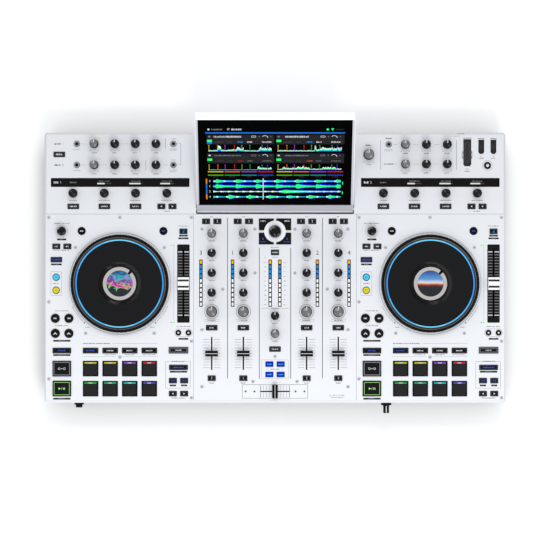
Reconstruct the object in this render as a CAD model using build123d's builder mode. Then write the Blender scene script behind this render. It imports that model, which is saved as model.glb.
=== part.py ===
"""Four-channel DJ controller with two jog wheels and a tilting touch display.

Frame: +X to the performer's right, +Y to the rear, +Z up, millimetres.
The origin is the bottom centre of the whole object with the display raised.
All plan positions are given from the centre of the case; level() adds the
case's offset along Y. Deck positions are given from the jog wheel's axis.
"""
from build123d import *
import os
from math import cos, radians, sin

os.makedirs("parts", exist_ok=True)

# ---------------------------------------------------------------- case
body_width = 728.5
body_depth = 427.0
corner_radius = 5.0
wall = 3.0
foot_height = 8.0
case_split = 46.0
panel_top = 74.0
skin = 4.0
plate_thickness = 2.0
plate_seat = panel_top - plate_thickness
lip_bevel = 3.0
ledge = 3.0
seam_y = 84.6
deck_plate_edge = 362.0
mixer_half_width = 128.5
plate_front = -209.5
base_inset = 1.5
base_chamfer = 3.0
base_inner_corner = 3.0
board_top = 41.6
board_thickness = 1.6
boss_radius = 5.0
foot_radius = 22.0
foot_recess_radius = 5.0
foot_recess_depth = 5.0
plate_corner = 2.0
plate_gap = 0.1
cutter_start = 5.0
cutter_depth = 14.0

# ------------------------------------------------------------- display
display_width = 248.0
display_front = -5.0
display_rear = 169.0
display_face = 6.0
display_lip = 3.0
display_back = -18.0
display_bevel = 3.0
display_heel = 5.0
display_edge = 1.5
glass_width = 239.0
glass_length = 155.0
glass_start = 12.5
glass_thickness = 1.6
tilt = 34.5
hinge_y = 92.7
hinge_z = 68.0
hinge_radius = 4.0
hinge_clearance = 0.06
hinge_pin = 4.0
hinge_end_gap = 0.8
bay_half_width = 125.0
bay_front = 85.5
bay_floor = 48.0
bay_wall = 6.0
bay_overrun = 10.0
tub_corner = 0.5

# ---------------------------------------------------------- front knob
contour_x = 176.4
contour_z = 58.0
contour_reach = 17.0
contour_skirt_radius = 8.2
contour_barrel_radius = 4.7
contour_gap = 0.5
contour_skirt = 4.5
contour_root = 12.0

# The case's offset that brings the origin to the middle of the whole depth.
front_tip = -body_depth / 2 - contour_reach
rear_tip = (hinge_y + display_rear * cos(radians(tilt))
            - (display_back + display_bevel) * sin(radians(tilt)))
body_y = -(front_tip + rear_tip) / 2

# ---------------------------------------------------------------- decks
deck_x = 245.0
deck_y = -25.0
jog_radius = 77.5
jog_bottom = panel_top + 0.6
jog_rim_top = panel_top + 13.0
jog_dish_depth = 2.2
jog_dish_radius = 34.0
jog_dish_slope = 4.0
jog_rim_bevel = 2.5
jog_foot_bevel = 0.8
jog_screen_radius = 27.0
jog_screen_drop = 0.2
jog_bearing_clearance = 0.06
jog_skirt_radius = 40.0
jog_skirt_drop = 8.0
jog_opening_gap = 2.0
jog_module_radius = 34.0
jog_module_height = 6.0

# --------------------------------------------------------------- screws
screw_head = 2.7
screw_rise = 1.3
screw_shank = 1.4
screw_hole = 1.5
screw_reach = 4.0

# ------------------------------------------------------------- controls
gap = 0.3
shaft_radius = 3.0
shaft_bottom = 58.0
knob_lift = 0.6
knob_height = 15.0
knob_step = 0.8
small_knob = 6.9
level_knob = 7.05
filter_knob = 8.85
main_knob = 8.65
encoder_knob = 7.1
button_root = 66.0
button_rise = 1.5
pad_rise = 2.6
round_rise = 2.1
switch_rise = 3.0
cap_corner = 0.8
pad_corner = 1.2
wide_button = (17.8, 8.0)
short_button = (12.2, 8.2)
mode_button = (24.2, 8.5)
transport_button = (29.0, 24.2)
sync_button = (29.0, 8.5)
shift_button = (30.6, 10.0)
sweep_button = (29.3, 8.0)
corner_button = (22.9, 18.0)
pad_size = 24.1
pad_pitch = 30.9
channel_pitch = 50.0

channel_columns = [-2 * channel_pitch, -channel_pitch, channel_pitch, 2 * channel_pitch]
channel_numbers = [3, 1, 2, 4]


def level(height):
    """Horizontal plane at a height, centred on the case."""
    return Plane.XY.offset(height).shift_origin((0, body_y, height))


def discs(points, radius, bottom, top, mode=Mode.ADD):
    """Upright round pegs, or round holes when subtracted."""
    with BuildSketch(level(bottom)) as outline:
        with Locations(*points):
            Circle(radius)
    extrude(outline.sketch, amount=top - bottom, mode=mode)


def blocks(points, size, bottom, top, mode=Mode.ADD, corner=cap_corner):
    """Upright blocks with rounded corners, or windows when subtracted."""
    with BuildSketch(level(bottom)) as outline:
        with Locations(*points):
            RectangleRounded(size[0], size[1], corner)
    extrude(outline.sketch, amount=top - bottom, mode=mode)


def grown(size, margin):
    """A width and depth grown by a margin on every side."""
    return (size[0] + 2 * margin, size[1] + 2 * margin)


def on_decks(points):
    """The same deck positions on the left deck and on the right deck."""
    return on_deck(-1, points) + on_deck(1, points)


def on_deck(side, points):
    """Deck positions, measured from the jog axis, as plan positions."""
    return [(side * deck_x + x, deck_y + y) for x, y in points]


def rows(xs, ys):
    """Every crossing of some columns and rows."""
    return [(x, y) for y in ys for x in xs]


def pair(centre, half, y):
    """Two neighbours either side of a centre line."""
    return [(centre - half, y), (centre + half, y)]


# ------------------------------------------------- positions on the decks
left_column = -91.8
right_column = 92.5
fader_column = 100.3
pad_columns = [pad_pitch * step for step in (-1.5, -0.5, 0.5, 1.5)]
pad_rows = [-134.4, -166.1]

deck_rounds = pair(left_column + 0.4, 10.7, -55.0) + pair(left_column + 0.4, 10.7, -78.7)
deck_round_radius = 7.0
deck_lit_rounds = [(-100.8, 10.0), (-100.8, -10.6)]
deck_lit_radius = 5.5
deck_top_rounds = [(-60.5, 83.0), (68.7, 83.0)]
deck_top_radius = 6.15
deck_bend_rounds = pair(fader_column, 7.95, -77.7)
deck_bend_radius = 4.35
deck_shorts = (
    pair(left_column, 8.7, 58.7)
    + [(fader_column, 82.5)]
    + pair(right_column, 8.9, -153.4)
    + pair(right_column, 8.9, -173.9)
)
deck_wides = [(-100.5, 37.7)]
deck_modes = [(x, -105.9) for x in pad_columns]
deck_syncs = [(left_column, -105.9)]
deck_transports = [(left_column, -134.4), (left_column, -165.9)]
deck_shifts = [(right_column, -105.3)]
deck_sweeps = [(right_column, -132.5)]
loop_encoder = (-92.0, 83.0)
loop_encoder_radius = 7.25

pitch_window = (19.7, 123.8)
window_corner = 1.5
pitch_slot = (1.9, 109.5)
pitch_cap = (18.1, 20.1)

deck_screws = [
    (-112.3, 104.5), (0.0, 104.5), (113.0, 104.5),
    (-70.3, 57.0), (70.3, 57.0),
    (-112.3, -29.0), (-54.2, -78.6), (54.2, -78.6),
    (0.0, -116.3), (-112.3, -150.7), (113.0, -91.0), (113.0, -180.5),
]

# ------------------------------------------------- positions on the mixer
level_y = 54.4
tone_rows = [23.5, -7.9, -39.3]
filter_y = -69.4
assign_y = 73.3
cue_y = -94.8
fader_y = -135.4
number_y = -174.5
fader_slot = (2.3, 52.5)
fader_cap = (19.8, 8.7)
browse_position = (0.0, 57.3)
browse_radius = 9.75
browse_clear_radius = 17.5
corner_gap = (4.7, 4.4)
cue_mix_position = (0.0, -75.9)
cue_level_position = (0.0, -104.0)
crossfader_y = -195.5
crossfader_slot = (47.6, 2.0)
crossfader_cap = (8.5, 21.3)
crossfader_plate = (104.0, 22.3)
crossfader_plate_gap = 0.25
meter_size = (4.5, 73.9)
meter_corner = 0.5
meter_root = 4.0
meter_rise = 0.2
meter_y = -24.4
master_meter_x = 7.6
channel_meter_offset = 17.0

mixer_shorts = (
    [(column + side * 8.9, assign_y) for column in channel_columns for side in (-1, 1)]
    + [(column, number_y) for column in channel_columns]
    + [(0.0, 24.2)]
    + pair(0.0, 8.9, -152.3)
    + pair(0.0, 8.9, -168.7)
)
mixer_wides = [(column, cue_y) for column in channel_columns] + [(0.0, -128.5)]
mixer_corners = [
    (side_x * (corner_button[0] + corner_gap[0]) / 2,
     browse_position[1] + side_y * (corner_button[1] + corner_gap[1]) / 2)
    for side_y in (-1, 1) for side_x in (-1, 1)
]
mixer_screws = (
    [(side * 115.4, y) for side in (-1, 1) for y in (61.0, -98.0, -188.0)]
    + [(side * 31.5, y) for side in (-1, 1) for y in (61.0, -8.4)]
    + [(-82.5, -34.0), (82.5, -34.0), (0.0, -140.2), (-34.8, -179.8), (34.8, -179.8)]
)
crossfader_screws = [(x, crossfader_y) for x in (-46.5, -32.5, 32.5, 46.5)]

# ---------------------------------------------- positions on the rear strip
source_left = rows([-285.6, -253.0, -220.5, -188.0], [195.7, 162.4])
source_right = rows([205.9, 238.9, 271.9], [194.7, 163.7])
main_level_position = (148.1, 178.8)
effect_shift = 2 * deck_x
effect_pitch = 49.35
effect_first = -318.8
effect_y = 117.7
effect_button_y = 96.9
strip_size = (218.9, 14.0)
strip_corner = 1.0
strip_rise = 0.3
strip_centre = (-244.65, 134.7)
effect_encoders_at = [
    (effect_first + effect_pitch * step + shift, effect_y)
    for shift in (0, effect_shift) for step in range(4)
]
rear_wides = [(-340.8, 179.0)] + [
    (x + shift, effect_button_y)
    for shift in (0, effect_shift) for x in (-318.7, -269.6, -220.4)
]
rear_shorts = [(x + shift, effect_button_y) for shift in (0, effect_shift) for x in (-179.5, -162.0)]
rear_rounds = rows([-313.1, -160.5], [195.7, 162.4]) + [(179.8, 194.9)]
rear_round_radius = 4.7
power_button_at = (335.7, 161.5)
power_button_radius = 5.4
card_bay = (303.8, 182.3, 12.6, 43.6)
stick_bays = [(325.9, 191.6, 9.3, 23.4), (345.1, 191.6, 9.3, 23.4)]
media_bays = [card_bay] + stick_bays
port_floor = panel_top - 12.0
port_wall = 1.2
port_base = 4.0
port_skin = 1.2
card_slot = (2.6, 25.0)
stick_slot = (5.4, 13.2)

# ---------------------------------------------------------------- sockets
jack_bore = 3.2
jack_depth = 26.0
jack_block = (16.0, 16.0)
jack_ferrule = 6.0
rear_jacks = [-318.0, -290.0, -222.0, -194.0, -110.0, -82.0, 96.0, 124.0]
rear_socket_z = 27.0
headphone_x = -310.9
headphone_z = 57.0
small_jack_x = -284.0
small_jack_bore = 1.8
inlet_x = 318.0
inlet_size = (24.8, 16.8)
network_x = 262.0
network_size = (12.0, 8.4)
usb_x = 222.0
usb_size = (8.6, 8.0)
socket_wall = 1.6
socket_reach = 18.0
socket_back = 3.0
mains_pin = (2.0, 4.0)
mains_pin_spread = 7.0
mains_pin_rise = 4.0
usb_tongue = (5.6, 3.2)
contact_start = 6.0
ferrule_out = 2.0
headphone_out = 8.0
headphone_barrel = 5.3
headphone_flange_radius = 7.6
headphone_flange_out = 3.5
headphone_block = 14.0
headphone_block_depth = 22.0
small_jack_depth = 20.0

# ================================================================ casings
foot_points = rows([-310.0, 0.0, 310.0], [-175.0, 175.0])
board_bosses = rows([-200.0, 200.0], [-150.0, 150.0])

with BuildPart() as rubber_feet:
    discs(foot_points, foot_radius, 0, foot_height)
    discs(foot_points, foot_recess_radius, 0, foot_recess_depth, Mode.SUBTRACT)
rubber_feet.part.label = "rubber_feet"
export_step(rubber_feet.part, "parts/rubber_feet.step")

with BuildPart() as bottom_case:
    base_size = grown((body_width, body_depth), -base_inset)
    blocks([(0, 0)], base_size, foot_height, case_split, corner=corner_radius)
    chamfer(bottom_case.faces().sort_by(Axis.Z)[0].edges(), base_chamfer)
    blocks([(0, 0)], grown(base_size, -wall), foot_height + wall, case_split, Mode.SUBTRACT,
           corner=base_inner_corner)
    discs(board_bosses, boss_radius, foot_height + wall, board_top - board_thickness)
    cutter_y = body_y + body_depth / 2 + cutter_start
    rear_face = Plane.XZ.offset(-cutter_y).shift_origin((0, cutter_y, rear_socket_z))
    with BuildSketch(rear_face):
        with Locations(*[(x, 0) for x in rear_jacks]):
            Circle(jack_ferrule)
        with Locations((inlet_x, 0)):
            Rectangle(inlet_size[0] + 2 * socket_wall, inlet_size[1] + 2 * socket_wall)
        with Locations((network_x, 0)):
            Rectangle(network_size[0] + 2 * socket_wall, network_size[1] + 2 * socket_wall)
        with Locations((usb_x, 0)):
            Rectangle(usb_size[0] + 2 * socket_wall, usb_size[1] + 2 * socket_wall)
    extrude(amount=cutter_depth, mode=Mode.SUBTRACT)
bottom_case.part.label = "bottom_case"
export_step(bottom_case.part, "parts/bottom_case.step")

deck_plate_inner = 128.9
deck_plate_width = deck_plate_edge - deck_plate_inner
deck_plate_centre = (deck_plate_edge + deck_plate_inner) / 2
plate_depth = seam_y - plate_front
plate_centre_y = (seam_y + plate_front) / 2
deck_plate_size = (deck_plate_width, plate_depth)
mixer_plate_size = (2 * mixer_half_width, plate_depth)
deck_plate_points = [(-deck_plate_centre, plate_centre_y), (deck_plate_centre, plate_centre_y)]
mixer_plate_point = [(0, plate_centre_y)]
bay_depth = body_depth / 2 - bay_front + bay_overrun

with BuildPart() as top_shell:
    blocks([(0, 0)], (body_width, body_depth), case_split, panel_top, corner=corner_radius)
    chamfer(top_shell.faces().sort_by(Axis.Z)[-1].edges(), lip_bevel)
    blocks([(0, 0)], grown((body_width, body_depth), -wall), case_split, panel_top - skin,
           Mode.SUBTRACT, corner=plate_corner)
    tub_depth = body_depth / 2 - bay_front + bay_wall
    blocks([(0, body_depth / 2 - tub_depth / 2)], (2 * (bay_half_width + bay_wall), tub_depth),
           case_split, panel_top, corner=tub_corner)
    blocks([(0, bay_front + bay_depth / 2)], (2 * bay_half_width, bay_depth),
           bay_floor, panel_top, Mode.SUBTRACT, corner=plate_corner)
    hinge_reach = bay_half_width + hinge_pin + hinge_end_gap
    with BuildSketch(Plane.YZ.offset(-hinge_reach)):
        with Locations((body_y + hinge_y, hinge_z)):
            Circle(hinge_radius + hinge_clearance)
    extrude(amount=2 * hinge_reach, mode=Mode.SUBTRACT)
    for points, size in ((deck_plate_points, deck_plate_size), (mixer_plate_point, mixer_plate_size)):
        blocks(points, grown(size, plate_gap), plate_seat, panel_top, Mode.SUBTRACT, corner=plate_corner)
        blocks(points, grown(size, -ledge), panel_top - skin, plate_seat, Mode.SUBTRACT, corner=plate_corner)
    discs(source_left + source_right + [main_level_position] + effect_encoders_at, shaft_radius + gap,
          panel_top - skin, panel_top, Mode.SUBTRACT)
    discs(rear_rounds, rear_round_radius + gap, panel_top - skin, panel_top, Mode.SUBTRACT)
    discs([power_button_at], power_button_radius + gap, panel_top - skin, panel_top, Mode.SUBTRACT)
    blocks(rear_wides, grown(wide_button, gap), panel_top - skin, panel_top, Mode.SUBTRACT)
    blocks(rear_shorts, grown(short_button, gap), panel_top - skin, panel_top, Mode.SUBTRACT)
    for shift in (0, effect_shift):
        blocks([(strip_centre[0] + shift, strip_centre[1])], strip_size, panel_top - skin, panel_top,
               Mode.SUBTRACT, corner=strip_corner)
    for x, y, width, depth in media_bays:
        blocks([(x, y)], grown((width, depth), port_wall), panel_top - skin, panel_top,
               Mode.SUBTRACT, corner=plate_corner)
    discs(on_decks(deck_screws) + mixer_screws, screw_hole, plate_seat - screw_reach, plate_seat,
          Mode.SUBTRACT)
    front_cutter_y = body_y - body_depth / 2 + 2 * wall
    front_face = Plane.XZ.offset(-front_cutter_y).shift_origin((0, front_cutter_y, 0))
    with BuildSketch(front_face):
        with Locations((contour_x, contour_z)):
            Circle(shaft_radius + gap)
        with Locations((headphone_x, headphone_z), (small_jack_x, headphone_z)):
            Circle(headphone_barrel)
    extrude(amount=cutter_depth, mode=Mode.SUBTRACT)
top_shell.part.label = "top_shell"
export_step(top_shell.part, "parts/top_shell.step")

with BuildPart() as deck_plates:
    blocks(deck_plate_points, deck_plate_size, plate_seat, panel_top, corner=plate_corner)
    discs(on_decks([(0, 0)]), jog_skirt_radius + jog_opening_gap, plate_seat, panel_top, Mode.SUBTRACT)
    discs(on_decks([loop_encoder]), shaft_radius + gap, plate_seat, panel_top, Mode.SUBTRACT)
    discs(on_decks(deck_rounds), deck_round_radius + gap, plate_seat, panel_top, Mode.SUBTRACT)
    discs(on_decks(deck_lit_rounds), deck_lit_radius + gap, plate_seat, panel_top, Mode.SUBTRACT)
    discs(on_decks(deck_top_rounds), deck_top_radius + gap, plate_seat, panel_top, Mode.SUBTRACT)
    discs(on_decks(deck_bend_rounds), deck_bend_radius + gap, plate_seat, panel_top, Mode.SUBTRACT)
    blocks(on_decks(deck_shorts), grown(short_button, gap), plate_seat, panel_top, Mode.SUBTRACT)
    blocks(on_decks(deck_wides), grown(wide_button, gap), plate_seat, panel_top, Mode.SUBTRACT)
    blocks(on_decks(deck_modes), grown(mode_button, gap), plate_seat, panel_top, Mode.SUBTRACT)
    blocks(on_decks(deck_syncs), grown(sync_button, gap), plate_seat, panel_top, Mode.SUBTRACT)
    blocks(on_decks(deck_transports), grown(transport_button, gap), plate_seat, panel_top, Mode.SUBTRACT)
    blocks(on_decks(deck_shifts), grown(shift_button, gap), plate_seat, panel_top, Mode.SUBTRACT)
    blocks(on_decks(deck_sweeps), grown(sweep_button, gap), plate_seat, panel_top, Mode.SUBTRACT)
    blocks(on_decks(rows(pad_columns, pad_rows)), grown((pad_size, pad_size), gap), plate_seat, panel_top,
           Mode.SUBTRACT)
    blocks(on_decks([(fader_column, 0)]), pitch_window, plate_seat, panel_top, Mode.SUBTRACT,
           corner=window_corner)
    discs(on_decks(deck_screws), screw_hole, plate_seat, panel_top, Mode.SUBTRACT)
deck_plates.part.label = "deck_plates"
export_step(deck_plates.part, "parts/deck_plates.step")

meter_points = (
    [(column - channel_meter_offset, meter_y) for column in channel_columns[:2]]
    + [(-master_meter_x, meter_y), (master_meter_x, meter_y)]
    + [(column + channel_meter_offset, meter_y) for column in channel_columns[2:]]
)
tone_points = rows(channel_columns, tone_rows)
filter_points = [(column, filter_y) for column in channel_columns]
level_points = [(column, level_y) for column in channel_columns]
fader_points = [(column, fader_y) for column in channel_columns]

with BuildPart() as mixer_plate:
    blocks(mixer_plate_point, mixer_plate_size, plate_seat, panel_top, corner=plate_corner)
    knob_holes = tone_points + filter_points + level_points
    discs(knob_holes + [browse_position, cue_mix_position, cue_level_position], shaft_radius + gap,
          plate_seat, panel_top, Mode.SUBTRACT)
    blocks(mixer_shorts, grown(short_button, gap), plate_seat, panel_top, Mode.SUBTRACT)
    blocks(mixer_wides, grown(wide_button, gap), plate_seat, panel_top, Mode.SUBTRACT)
    with BuildSketch(level(plate_seat)) as corner_windows:
        with Locations(*mixer_corners):
            RectangleRounded(*grown(corner_button, gap), cap_corner)
        with Locations(browse_position):
            Circle(browse_clear_radius - gap, mode=Mode.SUBTRACT)
    extrude(amount=plate_thickness, mode=Mode.SUBTRACT)
    blocks(meter_points, meter_size, plate_seat, panel_top, Mode.SUBTRACT, corner=meter_corner)
    blocks(fader_points, fader_slot, plate_seat, panel_top, Mode.SUBTRACT)
    blocks([(0, crossfader_y)], crossfader_plate, plate_seat, panel_top, Mode.SUBTRACT)
    discs(mixer_screws, screw_hole, plate_seat, panel_top, Mode.SUBTRACT)
    blocks([(0, crossfader_y)], grown(crossfader_plate, -crossfader_plate_gap), plate_seat, panel_top)
    blocks([(0, crossfader_y)], crossfader_slot, plate_seat, panel_top, Mode.SUBTRACT)
    discs(crossfader_screws, screw_hole, plate_seat, panel_top, Mode.SUBTRACT)
mixer_plate.part.label = "mixer_plate"
export_step(mixer_plate.part, "parts/mixer_plate.step")

# ================================================================ screws
screw_points = on_decks(deck_screws) + mixer_screws + crossfader_screws

with BuildPart() as panel_screws:
    discs(screw_points, screw_head, panel_top, panel_top + screw_rise)
    discs(screw_points, screw_shank, plate_seat - screw_reach, panel_top)
panel_screws.part.label = "panel_screws"
export_step(panel_screws.part, "parts/panel_screws.step")

# ================================================================ display
hinge_plane = Plane(origin=(0, body_y + hinge_y, hinge_z),
                    x_dir=(0, cos(radians(tilt)), sin(radians(tilt))), z_dir=(1, 0, 0))

with BuildPart() as display_housing:
    with BuildSketch(hinge_plane.offset(-display_width / 2)):
        with BuildLine():
            Polyline(
                (display_front, display_back + display_heel),
                (display_front + display_heel, display_back),
                (display_rear - display_bevel, display_back),
                (display_rear, display_back + display_bevel),
                (display_rear, display_face - display_edge),
                (display_rear - display_edge, display_face),
                (glass_start, display_face),
                (display_edge, display_lip),
                (display_front, display_lip),
                close=True,
            )
        make_face()
    extrude(amount=display_width)
    glass_middle = glass_start + glass_length / 2
    with BuildSketch(hinge_plane.offset(-glass_width / 2)):
        with Locations((glass_middle, display_face - glass_thickness / 2)):
            Rectangle(glass_length, glass_thickness)
    extrude(amount=glass_width, mode=Mode.SUBTRACT)
    with BuildSketch(hinge_plane.offset(-bay_half_width - hinge_pin)):
        Circle(hinge_radius)
    extrude(amount=2 * (bay_half_width + hinge_pin))
display_housing.part.label = "display_housing"
export_step(display_housing.part, "parts/display_housing.step")

with BuildPart() as display_glass:
    with BuildSketch(hinge_plane.offset(-glass_width / 2)):
        with Locations((glass_middle, display_face - glass_thickness / 2)):
            Rectangle(glass_length, glass_thickness)
    extrude(amount=glass_width)
display_glass.part.label = "display_glass"
export_step(display_glass.part, "parts/display_glass.step")

# ============================================================= jog wheels
for side, side_name in ((-1, "left"), (1, "right")):
    with BuildPart() as jog_wheel:
        jog_axis = Plane(origin=(side * deck_x, body_y + deck_y, 0), x_dir=(1, 0, 0), z_dir=(0, -1, 0))
        with BuildSketch(jog_axis):
            with BuildLine():
                Polyline(
                    (jog_screen_radius + jog_bearing_clearance, plate_seat - jog_skirt_drop),
                    (jog_skirt_radius, plate_seat - jog_skirt_drop),
                    (jog_skirt_radius, jog_bottom),
                    (jog_radius - jog_foot_bevel, jog_bottom),
                    (jog_radius, jog_bottom + jog_foot_bevel),
                    (jog_radius, jog_rim_top - jog_rim_bevel),
                    (jog_radius - jog_rim_bevel, jog_rim_top),
                    (jog_dish_radius + jog_dish_slope, jog_rim_top),
                    (jog_dish_radius, jog_rim_top - jog_dish_depth),
                    (jog_screen_radius + jog_bearing_clearance, jog_rim_top - jog_dish_depth),
                    close=True,
                )
            make_face()
        revolve(axis=Axis((side * deck_x, body_y + deck_y, 0), (0, 0, 1)))
    jog_wheel.part.label = side_name + "_jog_wheel"
    export_step(jog_wheel.part, "parts/" + side_name + "_jog_wheel.step")

with BuildPart() as jog_displays:
    discs(on_decks([(0, 0)]), jog_screen_radius, board_top, jog_rim_top - jog_dish_depth - jog_screen_drop)
    discs(on_decks([(0, 0)]), jog_module_radius, board_top, board_top + jog_module_height)
jog_displays.part.label = "jog_displays"
export_step(jog_displays.part, "parts/jog_displays.step")


# ================================================================== knobs
def knob(point, radius, height=knob_height):
    """A round cap over the panel on a shaft that goes down through it."""
    discs([point], radius, panel_top + knob_lift, panel_top + height - knob_step)
    discs([point], radius - knob_step, panel_top + height - knob_step, panel_top + height)
    discs([point], shaft_radius, shaft_bottom, panel_top + knob_lift)


single_knobs = [
    ("browse_encoder", browse_position, browse_radius),
    ("cue_mix_knob", cue_mix_position, small_knob),
    ("cue_level_knob", cue_level_position, level_knob),
    ("main_level_knob", main_level_position, main_knob),
]
for side, side_name in ((-1, "left"), (1, "right")):
    single_knobs.append((side_name + "_loop_encoder", on_deck(side, [loop_encoder])[0], loop_encoder_radius))
for number, column in zip(channel_numbers, channel_columns):
    channel_name = "channel_" + str(number)
    single_knobs.append((channel_name + "_level_knob", (column, level_y), level_knob))
    for tone_name, tone_y in zip(("high", "mid", "low"), tone_rows):
        single_knobs.append((channel_name + "_" + tone_name + "_knob", (column, tone_y), small_knob))
    single_knobs.append((channel_name + "_filter_knob", (column, filter_y), filter_knob))

for knob_name, knob_point, knob_radius in single_knobs:
    with BuildPart() as control_knob:
        knob(knob_point, knob_radius)
    control_knob.part.label = knob_name
    export_step(control_knob.part, "parts/" + knob_name + ".step")

with BuildPart() as source_knobs:
    for point in source_left + source_right:
        knob(point, level_knob)
source_knobs.part.label = "source_knobs"
export_step(source_knobs.part, "parts/source_knobs.step")

with BuildPart() as effect_encoders:
    for point in effect_encoders_at:
        knob(point, encoder_knob)
effect_encoders.part.label = "effect_encoders"
export_step(effect_encoders.part, "parts/effect_encoders.step")

with BuildPart() as contour_knob:
    contour_plane = Plane.XZ.offset(-(body_y - body_depth / 2)).shift_origin(
        (contour_x, body_y - body_depth / 2, contour_z))
    with BuildSketch(contour_plane.offset(contour_gap)):
        Circle(contour_skirt_radius)
    extrude(amount=contour_skirt)
    with BuildSketch(contour_plane.offset(contour_gap + contour_skirt)):
        Circle(contour_barrel_radius)
    extrude(amount=contour_reach - contour_gap - contour_skirt)
    with BuildSketch(contour_plane.offset(-contour_root)):
        Circle(shaft_radius)
    extrude(amount=contour_root + contour_gap)
contour_knob.part.label = "contour_knob"
export_step(contour_knob.part, "parts/contour_knob.step")


# ================================================================= faders
cap_lift = 0.6
cap_height = 11.0
stem_bottom = 62.0
unit_bottom = 54.0
stem_width = 1.2
stem_length = 6.0
stem_corner = 0.3
stem_clearance = 2.0
fader_unit = (14.0, 66.0)
crossfader_unit = (62.0, 14.0)


def fader_cap_piece(name, point, size, stem):
    """A finger cap above the panel with a thin stem down into its slider."""
    with BuildPart() as fader_piece:
        blocks([point], size, panel_top + cap_lift, panel_top + cap_height)
        blocks([point], stem, stem_bottom, panel_top + cap_lift, corner=stem_corner)
    fader_piece.part.label = name
    export_step(fader_piece.part, "parts/" + name + ".step")


for number, column in zip(channel_numbers, channel_columns):
    fader_cap_piece("channel_" + str(number) + "_fader_cap", (column, fader_y), fader_cap,
                    (stem_width, stem_length))
fader_cap_piece("crossfader_cap", (0, crossfader_y), crossfader_cap, (stem_length, stem_width))
for side, side_name in ((-1, "left"), (1, "right")):
    fader_cap_piece(side_name + "_pitch_fader_cap", on_deck(side, [(fader_column, 0)])[0], pitch_cap,
                    (stem_width, stem_length))

with BuildPart() as fader_units:
    slot_bottom = stem_bottom - stem_clearance
    blocks(fader_points, fader_unit, unit_bottom, plate_seat)
    blocks(fader_points, fader_slot, slot_bottom, plate_seat, Mode.SUBTRACT)
    blocks([(0, crossfader_y)], crossfader_unit, unit_bottom, plate_seat)
    blocks([(0, crossfader_y)], crossfader_slot, slot_bottom, plate_seat, Mode.SUBTRACT)
    pitch_points = on_decks([(fader_column, 0)])
    blocks(pitch_points, pitch_window, unit_bottom, panel_top, corner=window_corner)
    blocks(pitch_points, pitch_slot, slot_bottom, panel_top, Mode.SUBTRACT)
fader_units.part.label = "fader_units"
export_step(fader_units.part, "parts/fader_units.step")

# ================================================================ buttons
button_top = panel_top + button_rise
for side, side_name in ((-1, "left"), (1, "right")):
    with BuildPart() as deck_pads:
        blocks(on_deck(side, rows(pad_columns, pad_rows)), (pad_size, pad_size), button_root,
               panel_top + pad_rise, corner=pad_corner)
    deck_pads.part.label = side_name + "_pads"
    export_step(deck_pads.part, "parts/" + side_name + "_pads.step")

    with BuildPart() as deck_buttons:
        discs(on_deck(side, deck_rounds), deck_round_radius, button_root, panel_top + round_rise)
        discs(on_deck(side, deck_lit_rounds), deck_lit_radius, button_root, button_top)
        discs(on_deck(side, deck_top_rounds), deck_top_radius, button_root, button_top)
        discs(on_deck(side, deck_bend_rounds), deck_bend_radius, button_root, button_top)
        blocks(on_deck(side, deck_shorts), short_button, button_root, button_top)
        blocks(on_deck(side, deck_wides), wide_button, button_root, button_top)
        blocks(on_deck(side, deck_modes), mode_button, button_root, button_top)
        blocks(on_deck(side, deck_syncs), sync_button, button_root, button_top)
        blocks(on_deck(side, deck_transports), transport_button, button_root, panel_top + pad_rise)
        blocks(on_deck(side, deck_shifts), shift_button, button_root, button_top)
        blocks(on_deck(side, deck_sweeps), sweep_button, button_root, button_top)
    deck_buttons.part.label = side_name + "_deck_buttons"
    export_step(deck_buttons.part, "parts/" + side_name + "_deck_buttons.step")

with BuildPart() as mixer_buttons:
    blocks(mixer_shorts, short_button, button_root, button_top)
    blocks(mixer_wides, wide_button, button_root, button_top)
    with BuildSketch(level(button_root)):
        with Locations(*mixer_corners):
            RectangleRounded(*corner_button, cap_corner)
        with Locations(browse_position):
            Circle(browse_clear_radius, mode=Mode.SUBTRACT)
    extrude(amount=button_top - button_root)
mixer_buttons.part.label = "mixer_buttons"
export_step(mixer_buttons.part, "parts/mixer_buttons.step")

with BuildPart() as rear_buttons:
    blocks(rear_wides, wide_button, button_root, button_top)
    blocks(rear_shorts, short_button, button_root, button_top)
    discs(rear_rounds, rear_round_radius, button_root, panel_top + switch_rise)
    discs([power_button_at], power_button_radius, button_root, button_top)
rear_buttons.part.label = "rear_buttons"
export_step(rear_buttons.part, "parts/rear_buttons.step")

# ======================================================= lights and ports
with BuildPart() as effect_displays:
    for shift in (0, effect_shift):
        blocks([(strip_centre[0] + shift, strip_centre[1])], strip_size, panel_top - skin,
               panel_top + strip_rise, corner=strip_corner)
effect_displays.part.label = "effect_displays"
export_step(effect_displays.part, "parts/effect_displays.step")

with BuildPart() as level_meters:
    blocks(meter_points, meter_size, plate_seat - meter_root, panel_top + meter_rise, corner=meter_corner)
level_meters.part.label = "level_meters"
export_step(level_meters.part, "parts/level_meters.step")

with BuildPart() as media_ports:
    for x, y, width, depth in media_bays:
        blocks([(x, y)], grown((width, depth), port_wall), port_floor, panel_top, corner=plate_corner)
        blocks([(x, y)], (width, depth), port_floor + port_base, panel_top, Mode.SUBTRACT, corner=pad_corner)
    blocks([card_bay[:2]], card_slot, port_floor + port_skin, port_floor + port_base, Mode.SUBTRACT,
           corner=stem_corner)
    blocks([bay[:2] for bay in stick_bays], stick_slot, port_floor + port_skin, port_floor + port_base,
           Mode.SUBTRACT, corner=stem_corner)
media_ports.part.label = "media_ports"
export_step(media_ports.part, "parts/media_ports.step")

# ================================================================ sockets
rear_wall_face = body_y + body_depth / 2 - base_inset
socket_plane = Plane.XZ.offset(-rear_wall_face).shift_origin((0, rear_wall_face, rear_socket_z))
front_wall_face = body_y - body_depth / 2
front_plane = Plane.XZ.offset(-front_wall_face).shift_origin((0, front_wall_face, 0))

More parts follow.
